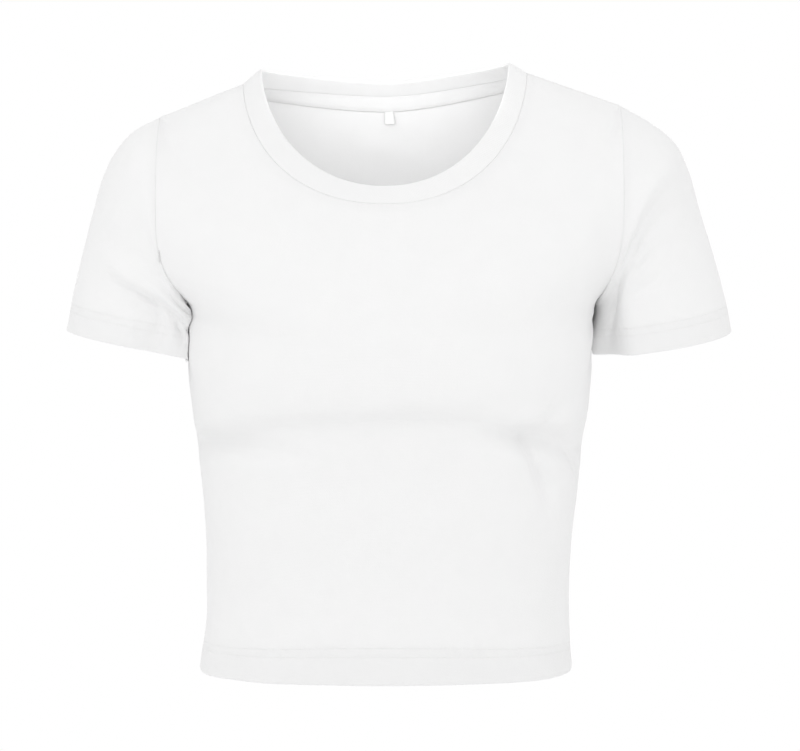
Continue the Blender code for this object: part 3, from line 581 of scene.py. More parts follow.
# Soft creases on the body, placed as BODY_FOLDS are. A bend moves the middle of a crease
# sideways, and a lip raises the cloth along one side of it.
CREASE = FOLD + " bend lip"
BODY_CREASES = table(
    CREASE,
    # under the bust
    (-76, -265, 76, -262, 16, 4.6, 4, 0.15),
    (-86, -273, -22, -273, 9, 2.6, 0, 0.3),
    (20, -268, 86, -273, 9, 2.8, 0, 0.3),
    (-84, -270, -24, -257, 5.5, 0.9, -2, 0.3),
    (-44, -262, 30, -254, 6, 1.5, 2, 0.6),
    (2, -254, 52, -267, 5.5, 1.1, 2, 0.5),
    (-80, -268, -28, -273, 6.5, 2.8, -1.5, 0.7),
    (-43, -274, -22, -279, 4, 0.9, 0, 0.3),
    (-70, -276, -56, -284, 4, 0.8, 0, -0.3),
    (26, -262, 66, -272, 7, 3.8, -1.5, 0.6),
    (43, -264, 60, -320, 5, 3.8, 2.5, -0.3),
    (48, -267, 57, -238, 5, 0.9, -1.5, 0.3),
    (56, -271, 81, -299, 4.5, 1.4, 2.5, -0.5),
    (70, -272, 88, -284, 4, 0.8, 0, 0.4),
    (66, -306, 84, -326, 4, 0.6, -2, 0.4),
    # from the armpits over the chest
    (-90, -184, -66, -206, 5, 1.1, 3, 0.5),
    (-88, -204, -70, -232, 5.5, 0.9, 3, 0.4),
    (92, -180, 66, -198, 5.5, 1.4, -3, 0.5),
    (92, -196, 70, -228, 5.5, 1.2, -4, 0.5),
    (90, -222, 76, -250, 5, 0.8, -3, 0.4),
    # above the hem
    (-53, -399, -46, -415, 4, -0.9, 0, 0.3),
    (-46, -413, -34, -414, 3.5, -0.7, 0, 0.3),
    (38, -404, 31, -415, 4, -0.7, 0, 0.3),
    (-30, -372, -16, -396, 9, 0.5, 4, 0.3),
    (18, -380, 30, -396, 8, 0.5, -3, 0.3),
    # waist
    (-84, -338, -58, -352, 8, 0.7, 3, 0.3),
    (60, -350, 86, -338, 8, 0.8, 3, 0.3),
    (-70, -376, -40, -366, 9, 0.5, -4, 0.3),
    # behind
    (-96, -330, -138, -352, 6.5, 1.4, 5, 0.5),
    (-100, -352, -132, -366, 6, 0.9, 4, 0.4),
    (-142, -344, 176, -362, 8, 1.5, -6, 0.4),
    (150, -332, -176, -350, 7, 1.2, 5, 0.4),
    (98, -318, 140, -344, 6.5, 1.5, -5, -0.5),
    (102, -344, 134, -358, 6, 0.9, -4, 0.4),
    (160, -372, -158, -378, 9, 0.8, 4, 0.3),
    (-94, -188, -126, -226, 6, 1.4, -5, 0.5),
    (-96, -208, -120, -252, 6, 1, -4, 0.4),
    (95, -190, 128, -232, 6, 1.5, 5, 0.5),
    (97, -214, 118, -256, 6, 1, 4, 0.4),
    (-130, -150, -152, -206, 9, 1.2, 6, 0.3),
    (132, -158, 154, -214, 9, 1.1, -6, 0.3),
    (-168, -60, 170, -66, 9, 0.8, -4, 0.3),
    (-100, -384, -126, -404, 5, 0.9, 0, 0.4),
    (118, -388, 140, -406, 5, 0.9, 0, 0.4),
)

# Creases on the sleeves, placed as SLEEVE_FOLDS are.
SLEEVE_CREASES = {
    "right": table(
        CREASE,
        (26, 0.42, 94, 0.67, 3.6, 4, 2, -0.6),
        (70, 0.6, 124, 0.71, 3.2, 3.8, 1.5, -0.7),
        (74, 0.6, 66, 1, 8, 4.2, 0, 0.3),
        (46, 0.54, 46, 1, 8, 4, 2, 0.3),
        (96, 0.76, 92, 1.04, 5, -0.9, 0, 0),
        (18, -0.1, 20, 0.5, 9, -5, 0, 0),
        (14, 0.26, 84, 0.48, 4, 0.7, -3, 0.4),
        (130, 0.4, 158, 0.56, 4.5, 0.8, 2, 0.4),
        (126, 0.52, 150, 0.64, 4, 0.7, 2, 0.4),
        (236, 0.4, 342, 0.3, 5, 1.6, 4, 0.5),
        (244, 0.62, 340, 0.5, 5, 1.3, 4, 0.5),
        (262, 0.8, 330, 0.72, 4, 0.8, 2, 0.4),
    ),
    "left": table(
        CREASE,
        (52, 0.1, 148, 0.38, 4, 2.4, -2.5, -0.6),
        (74, 0.26, 98, 0.34, 4, 1.5, 0, 0.6),
        (78, 0.4, 106, 0.5, 4, 1.6, -1.5, 0.6),
        (74, 0.55, 104, 0.62, 4, 1.5, 1.5, 0.6),
        (104, 0.58, 132, 0.72, 4.5, 0.8, -2, 0.5),
        (66, 0.24, 62, 0.66, 4, -0.9, 1.5, 0),
        (48, 0.2, 46, 0.62, 4, 1, 1.5, 0.5),
        (232, 0.36, 344, 0.22, 5, 1.7, 4, 0.5),
        (240, 0.6, 338, 0.48, 5, 1.2, 4, 0.5),
        (258, 0.82, 326, 0.7, 4, 0.8, 2, 0.4),
    ),
}

# Puckers where the needles draw the hem: their pitch and height, and how far they reach.
PUCKER_PITCH = 8.5
PUCKER_HEIGHT = 0.18
PUCKER_REACH = 9.0
NEEDLE_DIP = 0.12  # how far the needles draw the cloth in

# Unevenness of the filled cloth: the size and height of its swells, and where in their
# pattern each piece of cloth lies. The ripples at the needles start at places of their own.
SWELLS = ((52.0, 0.5), (21.0, 0.16))
SWELL_START = {"front": 3.1, "back": 8.7, "right": 5.3, "left": 11.9}
RIPPLE_START = {"body": 1.3, "right": 2.1, "left": 4.4}

# Fine rows and columns
NEEDLE_ROWS = (-1.4, -0.7, 0.0, 0.7, 1.4)  # rows beside a needle row
HEM_ROW = 2.2  # the other rows of a hem are this far apart
SLEEVE_ROWS = 46  # rows of a sleeve above its hem
SLEEVE_SECTIONS = 81  # sections that a sleeve's rows are laid on
SEAM_REACH = 11.0  # the rows beside the armhole seam reach this far down the sleeve,
SEAM_SHARE = 0.25  # but no further than this share of it
CREASES_FROM = 0.15  # shares of the sleeve over which its creases and swells start
SWELLS_FROM = 0.3
FOLD_TURNS = np.radians((30, 60, 90, 120, 150))  # where a turned-up edge has rows
BAND_ROWS = np.concatenate([[0, 0.05, 0.12, 0.21], np.linspace(0.32, 0.95, 8)])
SEAM_COLUMNS = 6  # columns that move with a seam when two panels are brought together


def between(points, places):
    """Points at fractional places down a grid, on a smooth curve through its rows.

    The places are the same for every column, or a row of places is given for each of them.
    """
    slopes = np.gradient(points, axis=0)
    places = np.asarray(places, float)
    if places.ndim == 1:
        places = np.repeat(places[:, None], points.shape[1], axis=1)
    k = np.clip(np.floor(places).astype(int), 0, len(points) - 2)
    at = np.arange(points.shape[1])
    u = (places - k)[:, :, None]
    return cubic(points[k, at], points[k + 1, at], slopes[k, at], slopes[k + 1, at], u)


def finer(points, rows, columns):
    down = between(points, rows)
    return between(down.transpose(1, 0, 2), columns).transpose(1, 0, 2)


def apart(places, least):
    """Sorted places without those that follow the last one too closely."""
    kept = []
    for place in sorted(places):
        if not kept or place - kept[-1] >= least:
            kept.append(place)
    return kept


def rows_at_needles(needles, first, last):
    """Distances from a hem's fold at which it has rows, closer together at the needle rows."""
    close = [needle + off for needle in needles for off in NEEDLE_ROWS]
    spread = [at for at in np.arange(first, last, HEM_ROW) if min(abs(at - c) for c in close) > 0.6]
    return [FOLD_RADIUS] + apart(close + spread, 0.5)


def column_places(count, per_step):
    """Places across a panel, closer together beside its two seams."""
    inner = np.arange(1, count, 1 / per_step)
    first = np.array(EDGE_PLACES)
    return np.unique(np.round(np.concatenate([first, inner[inner <= count - 1], count - first]), 4))


def from_hem(rows):
    """Distances of a panel's rows from the fold of its hem."""
    return rows * HEM_DEPTH / HEM_STEPS


def row_places():
    """Places up a panel, closer together at the needle rows and at the neck seam."""
    hem = np.array(rows_at_needles(NEEDLES, 3.0, HEM_RAW_EDGE + 2)) / (HEM_DEPTH / HEM_STEPS)
    body = np.arange(2.6, BODY_STEPS, 0.25)
    arm = np.arange(BODY_STEPS, BODY_STEPS + ARMHOLE_STEPS, 1 / 6)
    yoke = np.arange(BODY_STEPS + ARMHOLE_STEPS, NECK_STEP - 0.6, 0.2)
    return np.concatenate([hem, body, arm, yoke, NECK_STEP - np.array(EDGE_PLACES[::-1])])


def swell(points, seed):
    """A slight unevenness of the cloth, the same on every run."""
    total = np.zeros(points.shape[:2])
    flat = points.reshape(-1, 3)
    for size, height in SWELLS:
        moved = flat / size + seed
        total += height * np.array([noise.noise(Vector(at)) for at in moved]).reshape(total.shape)
    return total


def puckers(distance, from_fold, needles, seed):
    """Ripples that the needle rows draw into a hem, leaning as a twisted hem does."""
    middle = sum(needles) / 2
    reach = np.exp(-(((from_fold - middle) / PUCKER_REACH) ** 2))
    lean = distance + 0.35 * from_fold
    wander = 2.4 * np.sin(lean / 31 + seed) + 1.5 * np.sin(lean / 13.7 + 2 * seed)
    swing = np.sin(TURN * (lean + wander) / PUCKER_PITCH)
    strength = 0.55 + 0.45 * np.sin(lean / 23.0 + 3 * seed)
    drawn = sum(np.exp(-(((from_fold - needle) / 1.0) ** 2)) for needle in needles)
    return PUCKER_HEIGHT * reach * swing * strength - NEEDLE_DIP * drawn


def lengths_down(points):
    """Distance of each point of a grid from its first row, over the surface."""
    steps = np.linalg.norm(np.diff(points, axis=0), axis=-1)
    return np.concatenate([np.zeros_like(steps[:1]), np.cumsum(steps, axis=0)])


def lengths_across(points):
    return lengths_down(points.swapaxes(0, 1)).T


def read_line(at, run, line):
    """Points at distances along a line, where run holds the distances of its own points."""
    return np.stack([np.interp(at, run, line[:, k]) for k in range(3)], axis=1)


def beside_seam(distance, sink=SEAM_SINK):
    """Height of the cloth over the seam that it is sewn to, at a distance from that seam."""
    return sink * (1 - np.exp(-((distance / SEAM_WIDTH) ** 2)))


def fine_panel(name, coarse, face, rows):
    """The outer face of the front or the back, with its folds, creases and puckers."""
    count = coarse.shape[1] - 1
    columns = column_places(count, ACROSS[name])
    across = np.radians(degrees_round(coarse, face)[0])
    zone = np.interp(rows, (0, 2.4, 6), (0, 2.4, 0))
    lowered = rows[:, None] - HEM_NARROWS * np.sin(across) ** 2 * zone[:, None]
    points = finer(coarse, lowered, columns)
    normals = grid_normals(points)
    place = degrees_round(points, face)
    height = points[:, :, 2]

    last = len(coarse) - 1
    step = np.asarray(rows)[:, None]
    from_edge = np.minimum(columns, count - columns)[None, :]
    beside_armhole = smooth_step((step - BODY_STEPS) / 3)
    near_top = smooth_step((last - step) / 4)
    big = (1 - beside_armhole * (1 - smooth_step(from_edge / 4))) * near_top
    small = (1 - beside_armhole * (1 - smooth_step(from_edge / 2))) * smooth_step((last - step) / 2)
    depth = (body_depth(BODY_FOLDS, place, height) - flute_swing(place, height)) * big
    depth += body_depth(BODY_CREASES, place, height) * small
    depth += swell(points, SWELL_START[name]) * small

    from_fold = from_hem(step) + 0 * place
    depth -= puckers(place * BODY_AROUND / 360, from_fold, NEEDLES, RIPPLE_START["body"])
    return points - normals * depth[:, :, None]


def close_seams(front, back, rows):
    """Brings the side and shoulder seams of the two panels onto one line."""
    arm = (rows > BODY_STEPS) & (rows < BODY_STEPS + ARMHOLE_STEPS)
    for front_edge, back_edge in ((-1, 0), (0, -1)):
        middle = (front[:, front_edge] + back[:, back_edge]) / 2
        for points, edge in ((front, front_edge), (back, back_edge)):
            shift = np.where(arm[:, None], 0, middle - points[:, edge])
            for near in range(SEAM_COLUMNS):
                at = near if edge == 0 else -1 - near
                points[:, at] += shift * (1 - near / SEAM_COLUMNS)


def raised(points):
    """A panel's points, standing slightly over its seams at the sides and at the top."""
    across, down = lengths_across(points), lengths_down(points)
    to_side = np.minimum(across, across[:, -1:] - across)
    height = beside_seam(np.minimum(to_side, down[-1:] - down))
    return points + grid_normals(points) * height[:, :, None]


def off_edge(grid, normals, distances):
    """Points of a panel at distances from its first row, and its normals there."""
    run = lengths_down(grid)
    points = np.zeros((len(distances), grid.shape[1], 3))
    facing = np.zeros_like(points)
    for j in range(grid.shape[1]):
        points[:, j] = read_line(distances, run[:, j], grid[:, j])
        facing[:, j] = read_line(distances, run[:, j], normals[:, j])
    return points, unit(facing)


def turn_up(points, normals, from_fold, raw_edge):
    """Adds the turned-up part of a hem below row 0: round the fold and up inside."""
    first = points[0]
    facing = normals[0]
    up = unit(points[1] - first)
    centre = first - facing * FOLD_RADIUS
    turn = [
        centre + FOLD_RADIUS * (facing * math.cos(a) - up * math.sin(a))
        for a in FOLD_TURNS
    ]
    inside_places = [at for at in range(len(from_fold)) if from_fold[at] <= raw_edge]
    inside = [points[at] - normals[at] * 2 * FOLD_RADIUS for at in inside_places]
    return np.array(inside[::-1] + turn[::-1] + list(points))


# ---------------------------------------------------------------- sleeves


def fine_sleeve(name, loop, panels):
    """The outer face of a sleeve, as rows from the armhole to the cuff."""
    turn = np.linspace(0, TURN, len(loop))
    start = sleeve_ring(name, 0.0, turn)
    alongs = np.linspace(0, 1, SLEEVE_SECTIONS)
    fades = np.maximum(0.0, 1 - alongs / ARMHOLE_FADE) ** 2
    dense = [
        sleeve_ring(name, along, turn) + (loop - start) * fade
        for along, fade in zip(alongs, fades)
    ]
    dense = np.array([loop, *dense[1:]])

    # Rows near the cuff run parallel to it; the others share out what is left.
    cuff = np.array(rows_at_needles(CUFF_NEEDLES, 3.0, CUFF_RAW_EDGE + 5))
    down = lengths_down(dense)
    places = []
    for j in range(len(loop)):
        length = down[-1, j]
        body = length - cuff[-1]
        seam = np.array(EDGE_PLACES) * min(SEAM_REACH, body * SEAM_SHARE)
        rest = np.linspace(seam[-1], body, SLEEVE_ROWS - len(seam) + 1)[1:-1]
        places.append(np.concatenate([seam, rest, length - cuff[::-1]]))
    places = np.array(places).T
    along = np.array([np.interp(places[:, j], down[:, j], alongs) for j in range(len(loop))]).T
    points = np.zeros(places.shape + (3,))
    for j in range(len(loop)):
        points[:, j] = read_line(places[:, j], down[:, j], dense[:, j])

    if name == "left":
        points, along, turn, down, places = (
            np.ascontiguousarray(np.flip(grid, axis=-2 if grid.ndim == 3 else -1))
            for grid in (points, along, turn, down, places)
        )
    normals = grid_normals(points, tube=True)
    around = turn[None, :] / TURN * SLEEVE_AROUND + 0 * along
    depth = np.zeros_like(along)
    for fold in SLEEVE_FOLDS[name] + SLEEVE_CREASES[name]:
        first = fold.start_round / 360 * SLEEVE_AROUND, fold.start_up * SLEEVE_ALONG
        last = fold.end_round / 360 * SLEEVE_AROUND, fold.end_up * SLEEVE_ALONG
        depth += fold_depth(around, along * SLEEVE_ALONG, first, last, fold)
    depth *= smooth_step(along / CREASES_FROM)
    depth += swell(points, SWELL_START[name]) * smooth_step(along / SWELLS_FROM)
    from_fold = down[-1:] - places
    depth -= puckers(around, from_fold, CUFF_NEEDLES, RIPPLE_START[name])
    points += normals * (beside_seam(places) - depth)[:, :, None]
    points[1:] = clear_of_body(name, points[1:], panels["front"], panels["back"])
    points[:, -1] = points[:, 0]
    return points, from_fold[:, 0]


# ---------------------------------------------------------------- making pieces


def finished(name, shape, material):
    """The object of a finished shape."""
    for face in shape.faces:
        face.smooth = True
    mesh = bpy.data.meshes.new(name)
    shape.to_mesh(mesh)
    shape.free()
    mesh.materials.append(material)
    piece = bpy.data.objects.new(name, mesh)
    bpy.context.scene.collection.objects.link(piece)
    return piece


def grid_piece(name, points, material, uv, thickness=CLOTH, tube=False):
    """A piece of cloth: a grid laid on the points, given its thickness inwards."""
    rows, columns = points.shape[:2]
    shape = bmesh.new()
    layer = shape.loops.layers.uv.new("cloth")
    bmesh.ops.create_grid(shape, x_segments=columns - 1, y_segments=rows - 1, size=1)
    shape.verts.ensure_lookup_table()
    flat = points.reshape(-1, 3) * MM
    for vertex, place in zip(shape.verts, flat):
        vertex.co = place
    shape.verts.index_update()
    maps = uv.reshape(-1, 2) * MM
    for face in shape.faces:
        for loop in face.loops:
            loop[layer].uv = maps[loop.vert.index]
    if tube:
        bmesh.ops.remove_doubles(shape, verts=shape.verts, dist=0.01 * MM)
    piece = finished(name, shape, material)
    wall = piece.modifiers.new("thickness", "SOLIDIFY")
    wall.thickness = thickness * MM
    wall.offset = -1.0
    return piece


def metric_map(points):
    """A map of a grid in real lengths: across from its middle column, and along."""
    across = lengths_across(points)
    middle = points.shape[1] // 2
    across = across - across[:, middle : middle + 1]
    along = lengths_down(points)
    return np.stack([across, along], axis=2)


def stitch_row(name, line, normals, material, pitch=STITCH, closed=False):
    """A row of stitches, each a short rounded thread pulled into the cloth."""
    if closed:
        line, normals = (np.concatenate([values, values[:1]]) for values in (line, normals))
    run = lengths_down(line)
    count = max(1, round(run[-1] / pitch))
    at = (np.arange(count) + 0.5) * run[-1] / count
    step = run[-1] / count * 0.3
    centres, ahead, behind = (read_line(at + move, run, line) for move in (0, step, -step))
    shape = bmesh.new()
    sizes = np.array((pitch * STITCH_SHARE / 2, THREAD / 2, THREAD / 2)) * MM
    directions, faces = unit(ahead - behind), unit(read_line(at, run, normals))
    for centre, along, facing in zip(centres, directions, faces):
        side = unit(np.cross(facing, along))
        facing = np.cross(along, side)
        place = np.eye(4)
        place[:3, :3] = np.stack([along, side, facing], axis=1) * sizes
        place[:3, 3] = (centre + facing * STITCH_LIFT) * MM
        bmesh.ops.create_icosphere(shape, subdivisions=1, radius=1, matrix=Matrix(place))
    return finished(name, shape, material)


def strip(name, points, normals, lift, material, tube=False):
    """A narrow strip that lies inside a seam, at a depth below the face of the cloth."""
    shares = np.linspace(0, 1, len(points))
    arch = lift + STRIP_ARCH * np.sin(math.pi * shares)
    laid = (points - normals * arch[:, None, None])[::-1]
    return grid_piece(name, laid, material, metric_map(laid), STRIP, tube)


# ================================================================ materials

MATH = "ShaderNodeMath"
NOISE = "ShaderNodeTexNoise"


def srgb(hex_code):
    """Linear colour of an sRGB hex value."""
    parts = [int(hex_code[k : k + 2], 16) / 255 for k in (1, 3, 5)]
    linear = [p / 12.92 if p <= 0.04045 else ((p + 0.055) / 1.055) ** 2.4 for p in parts]
    return (*linear, 1.0)


def add(tree, kind, inputs=(), **settings):
    """Adds a node with its settings, links or sets its inputs, and gives its outputs."""
    node = tree.nodes.new(kind)
    for key, value in settings.items():
        setattr(node, key, value)
    for key, value in inputs.items() if isinstance(inputs, dict) else enumerate(inputs):
        if isinstance(value, bpy.types.NodeSocket):
            tree.links.new(value, node.inputs[key])
        else:
            node.inputs[key].default_value = value
    return node.outputs


# Each pattern gives the height of its loops or threads, from the lengths across and along the
# cloth in metres.


def knitted(tree, coords, across, along, wale=1.3 * MM, course=1.0 * MM):
    """Plain knitting: V-shaped loops in columns. Its wales are 0.7 mm apart and are drawn
    1.3 mm apart, or they wouldn't show at all."""
    wales = add(tree, MATH, (across, 1 / wale), operation="MULTIPLY")[0]
    column = add(tree, MATH, (wales,), operation="FRACT")[0]
    middle = add(tree, MATH, (column, 0.5), operation="SUBTRACT")[0]
    side = add(tree, MATH, (middle,), operation="ABSOLUTE")[0]
    courses = add(tree, MATH, (along, 1 / course), operation="MULTIPLY")[0]
    climb = add(tree, MATH, (side, 1.3, courses), operation="MULTIPLY_ADD")[0]
    angle = add(tree, MATH, (climb, TURN), operation="MULTIPLY")[0]
    loop = add(tree, MATH, (angle,), operation="SINE")[0]
    from_leg = add(tree, MATH, (side, 0.25), operation="SUBTRACT")[0]
    angle = add(tree, MATH, (from_leg, TURN), operation="MULTIPLY")[0]
    leg = add(tree, MATH, (angle,), operation="COSINE")[0]
    legs = add(tree, MATH, (leg, 0.65), operation="MULTIPLY")[0]
    return add(tree, MATH, (loop, 0.35, legs), operation="MULTIPLY_ADD")[0]


def threads_side_by_side(tree, across, pitch):
    angle = add(tree, MATH, (across, TURN / pitch), operation="MULTIPLY")[0]
    return add(tree, MATH, (angle,), operation="SINE")[0]


def ribbed(tree, coords, across, along, wale=1.4 * MM):
    wave = threads_side_by_side(tree, across, wale)
    loops = knitted(tree, coords, across, along, wale)
    low = add(tree, MATH, (loops, 0.3), operation="MULTIPLY")[0]
    return add(tree, MATH, (wave, 0.7, low), operation="MULTIPLY_ADD")[0]


def herringbone(tree, coords, across, along, width=1.8 * MM, thread=0.9 * MM):
    fold = add(tree, MATH, (along, width), operation="PINGPONG")[0]
    slant = add(tree, MATH, (across, fold), operation="ADD")[0]
    return threads_side_by_side(tree, slant, thread)


def satin(tree, coords, across, along, weft=0.5 * MM):
    return threads_side_by_side(tree, along, weft)


def spun(tree, coords, across, along, grains_a_metre=2400):
    return add(tree, NOISE, {"Vector": coords["Object"], "Scale": grains_a_metre})["Fac"]


def overlocked(tree, coords, across, along, thread=1.6 * MM):
    slant = add(tree, MATH, (along, 0.25, across), operation="MULTIPLY_ADD")[0]
    return threads_side_by_side(tree, slant, thread)


# Tones change from place to place in clouds, as in laundered cotton, and over the relief of
# the pattern lies the fuzz of the yarn. The scales of both are to the metre.
FINISHES = table(
    "name roughness sheen pale dark cloud_scale pattern relief strength fuzz_scale fuzz",
    # Bleached cotton single jersey: dull, slightly fuzzy, with fine columns of loops.
    ("cotton jersey", 0.88, 0.12, "#F1F1F1", "#EEEEEE", 55, knitted, 0.25, 0.28, 1100, 0.25),
    # 1x1 rib with a little elastane: narrow raised wales across the band.
    ("cotton rib", 0.9, 0.12, "#F3F3F3", "#F0F0F0", 60, ribbed, 0.3, 0.3, 1100, 0.25),
    # Woven cotton tape: a fine herringbone, a little smoother than the knit.
    ("cotton tape", 0.8, 0.08, "#F2F2F2", "#EFEFEF", 80, herringbone, 0.2, 0.35, 1200, 0.15),
    # Woven polyester satin ribbon: smooth, with a soft lengthwise lustre.
    ("label satin", 0.42, 0.05, "#F5F5F5", "#F0F0F0", 120, satin, 0.1, 0.25, 1500, 0.08),
    # Spun polyester thread: brighter and smoother than the cloth that it sinks into.
    ("sewing thread", 0.55, 0.1, "#F4F4F4", "#EFEFEF", 600, spun, 0.1, 0.3, 3000, 0.1),
    # Overlocked edge: looper threads laid side by side across the raw edge of the jersey.
    ("overlock thread", 0.7, 0.1, "#EFEFEF", "#EAEAEA", 300, overlocked, 0.5, 0.6, 1400, 0.25),
)
FUZZ_HEIGHT = 0.2
# Light passes through thin white cloth, which brightens the inside of the top.
ALL_FINISHES = {
    "IOR": 1.5,
    "Specular IOR Level": 0.25,
    "Sheen Roughness": 0.5,
    "Subsurface Weight": 0.2,
    "Subsurface Radius": (1.0, 1.0, 1.0),
    "Subsurface Scale": 1.5 * MM,
}


def new_material(name, **values):
    """A material, and the inputs of its shader with their values set."""
    material = bpy.data.materials.new(name)
    material.use_nodes = True
    inputs = material.node_tree.nodes["Principled BSDF"].inputs
    for key, value in values.items():
        inputs[key].default_value = value
    return material, inputs


def material_of(finish):
    own = {"Roughness": finish.roughness, "Sheen Weight": finish.sheen}
    material, shader = new_material(finish.name, **ALL_FINISHES, **own)
    tree = material.node_tree
    coords = add(tree, "ShaderNodeTexCoord")
    split = add(tree, "ShaderNodeSeparateXYZ", (coords["UV"],))
    clouds = {"Vector": coords["Object"], "Scale": finish.cloud_scale, "Detail": 3.0}
    tones = {0: add(tree, NOISE, clouds)["Fac"], 6: srgb(finish.dark), 7: srgb(finish.pale)}
    colour = add(tree, "ShaderNodeMix", tones, data_type="RGBA")[2]
    tree.links.new(colour, shader["Base Color"])
    height = finish.pattern(tree, coords, split["X"], split["Y"])
    relief = {"Height": height, "Distance": finish.relief * MM, "Strength": finish.strength}
    below = add(tree, "ShaderNodeBump", relief)["Normal"]
    yarn = {"Vector": coords["Object"], "Scale": finish.fuzz_scale, "Detail": 2.0}
    fuzz = {"Height": add(tree, NOISE, yarn)["Fac"], "Distance": FUZZ_HEIGHT * MM}
    fuzz |= {"Strength": finish.fuzz, "Normal": below}
    tree.links.new(add(tree, "ShaderNodeBump", fuzz)["Normal"], shader["Normal"])
    return material


# ================================================================ build

JERSEY_CLOTH, RIB_CLOTH, TAPE_CLOTH, SATIN, THREADS, OVERLOCK = map(material_of, FINISHES)


def put(piece, node=None):
    """Makes a piece ride on the top; it may stand for a node, which is then hidden."""
    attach(piece, "root")
    if node:
        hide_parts(node)
    return piece


def build():
    """Each piece of cloth by its name, in a list with what is sewn to it."""
    rows, panels = build_body()
    facing = {name: grid_normals(panel) for name, panel in panels.items()}
    made = {}
    for name in ("front", "back"):
        outside = raised(panels[name])
        whole = turn_up(outside, grid_normals(outside), from_hem(rows), HEM_RAW_EDGE)
        cloth = grid_piece(name + "_cloth", whole, JERSEY_CLOTH, metric_map(whole))
        made[name] = [put(cloth, name)]
    made["front"] += sew_hem("hem", "", ring(panels), ring(facing), from_hem(rows))
    made["back"] += overlock_body(rows, panels, facing)
    for name in ("right", "left"):
        made["sleeve_" + name] = build_sleeve(name, rows, panels)
    made["neckband"] = build_neckband(panels)
    made["neck_tape"] = build_tape(panels["back"], facing["back"])
    made["size_label"] = build_label(panels["back"], facing["back"])
    return made


def build_body():
    """The fine points of the front and the back, meeting at the sides and shoulders."""
    rows = row_places()
    panels = {
        "front": fine_panel("front", panel_points(-1, FRONT_COLUMNS), -1, rows),
        "back": fine_panel("back", panel_points(+1, BACK_COLUMNS), +1, rows),
    }
    close_seams(panels["front"], panels["back"], rows)
    return rows, panels


def ring(grids):
    """The front and the back joined, with the first column again as the last one."""
    joined = np.concatenate([grids["front"], grids["back"][:, 1:]], axis=1)
    joined[:, -1] = joined[:, 0]
    return joined


def sew_hem(kind, side, grid, normals, from_fold, order=1):
    """Two needle rows round a turned-up edge and the looper threads behind them."""
    hem = NEEDLES, HEM_RAW_EDGE
    needles, raw_edge = hem if kind == "hem" else (CUFF_NEEDLES, CUFF_RAW_EDGE)
    sewn = []
    for number, needle in enumerate(needles, 1):
        at = int(np.argmin(np.abs(from_fold - needle)))
        name = "%s_stitches%s_%d" % (kind, side, number)
        sewn.append(stitch_row(name, grid[at, :-1], normals[at, :-1], THREADS, closed=True))
    at = (from_fold > needles[0] - LOOPS_PAST_NEEDLE) & (from_fold < raw_edge + 1)
    name = "%s_loopers%s" % (kind, side)
    lift = 2 * FOLD_RADIUS + 0.2
    sewn.append(strip(name, grid[at][::order], normals[at][::order], lift, OVERLOCK, tube=True))
    return [put(piece) for piece in sewn]


def overlock_body(rows, panels, facing):
    """The overlocked allowances of the side, shoulder and front neck seams, on the inside."""
    sewn = []
    above_hem = (from_hem(rows) > HEM_RAW_EDGE + 1) & (rows <= BODY_STEPS)
    shoulder = rows >= BODY_STEPS + ARMHOLE_STEPS
    for part, at in (("side", above_hem), ("shoulder", shoulder)):
        for side, order in (("left", 1), ("right", -1)):
            grid, normals = (
                points["back"][at][:, ::order].transpose(1, 0, 2) for points in (panels, facing)
            )
            laid = off_edge(grid, normals, ALLOWANCE_ROWS)
            sewn.append(edging("%s_allowance_%s" % (part, side), *laid, order))
    laid = off_edge(panels["front"][::-1], facing["front"][::-1], ALLOWANCE_ROWS)
    return sewn + [edging("front_neck_allowance", *laid)]


def edging(name, points, normals, order=1):
    """The overlocked edge of a seam allowance of the body."""
    piece = strip(name, points[::-order], normals[::-order], CLOTH + 0.3, OVERLOCK)
    return put(piece)


def build_sleeve(name, rows, panels):
    """A sleeve with its hem and the allowance of its armhole seam."""
    arm = (rows > BODY_STEPS - 0.01) & (rows < BODY_STEPS + ARMHOLE_STEPS + 0.01)
    front_edge, back_edge = (0, -1) if name == "right" else (-1, 0)
    up, down = panels["front"][arm, front_edge], panels["back"][arm, back_edge][::-1]
    outside, from_fold = fine_sleeve(name, np.concatenate([up, down[1:]]), panels)
    outside, from_fold = outside[::-1], from_fold[::-1]
    normals = -grid_normals(outside, tube=True)
    whole = turn_up(outside, normals, from_fold, CUFF_RAW_EDGE)[::-1]
    title = "sleeve_" + name
    cloth = grid_piece(title + "_cloth", whole, JERSEY_CLOTH, metric_map(whole), tube=True)
    pieces = [put(cloth, title)]
    pieces += sew_hem("cuff", "_" + name, outside, normals, from_fold, order=-1)
    points, inside = off_edge(outside[::-1], normals[::-1], ALLOWANCE_ROWS)
    title = "armhole_allowance_" + name
    allowance = strip(title, points, inside, CLOTH + 0.5, OVERLOCK, tube=True)
    return pieces + [put(allowance)]


def neck_edge(name, face, count):
    """The finished edge of the neckband over one panel."""
    front, back = (FRONT_NECK_EDGE, FRONT_NECK_EDGE_DEPTH), (BACK_NECK_EDGE, BACK_NECK_EDGE_DEPTH)
    height, depth = front if face < 0 else back
    ends = [(NECK_EDGE_WIDTH, 0.0, side.neck_edge_z) for side in (RIGHT, LEFT)]
    straight = max(0, face)
    line = whole_section(ends, height, depth, NECK_SQUARE, NECK_ROUNDING, straight, face, count)
    line[:, 0] += NECK_SHIFT
    return between(line[:, None], column_places(count, ACROSS[name]))[:, 0]


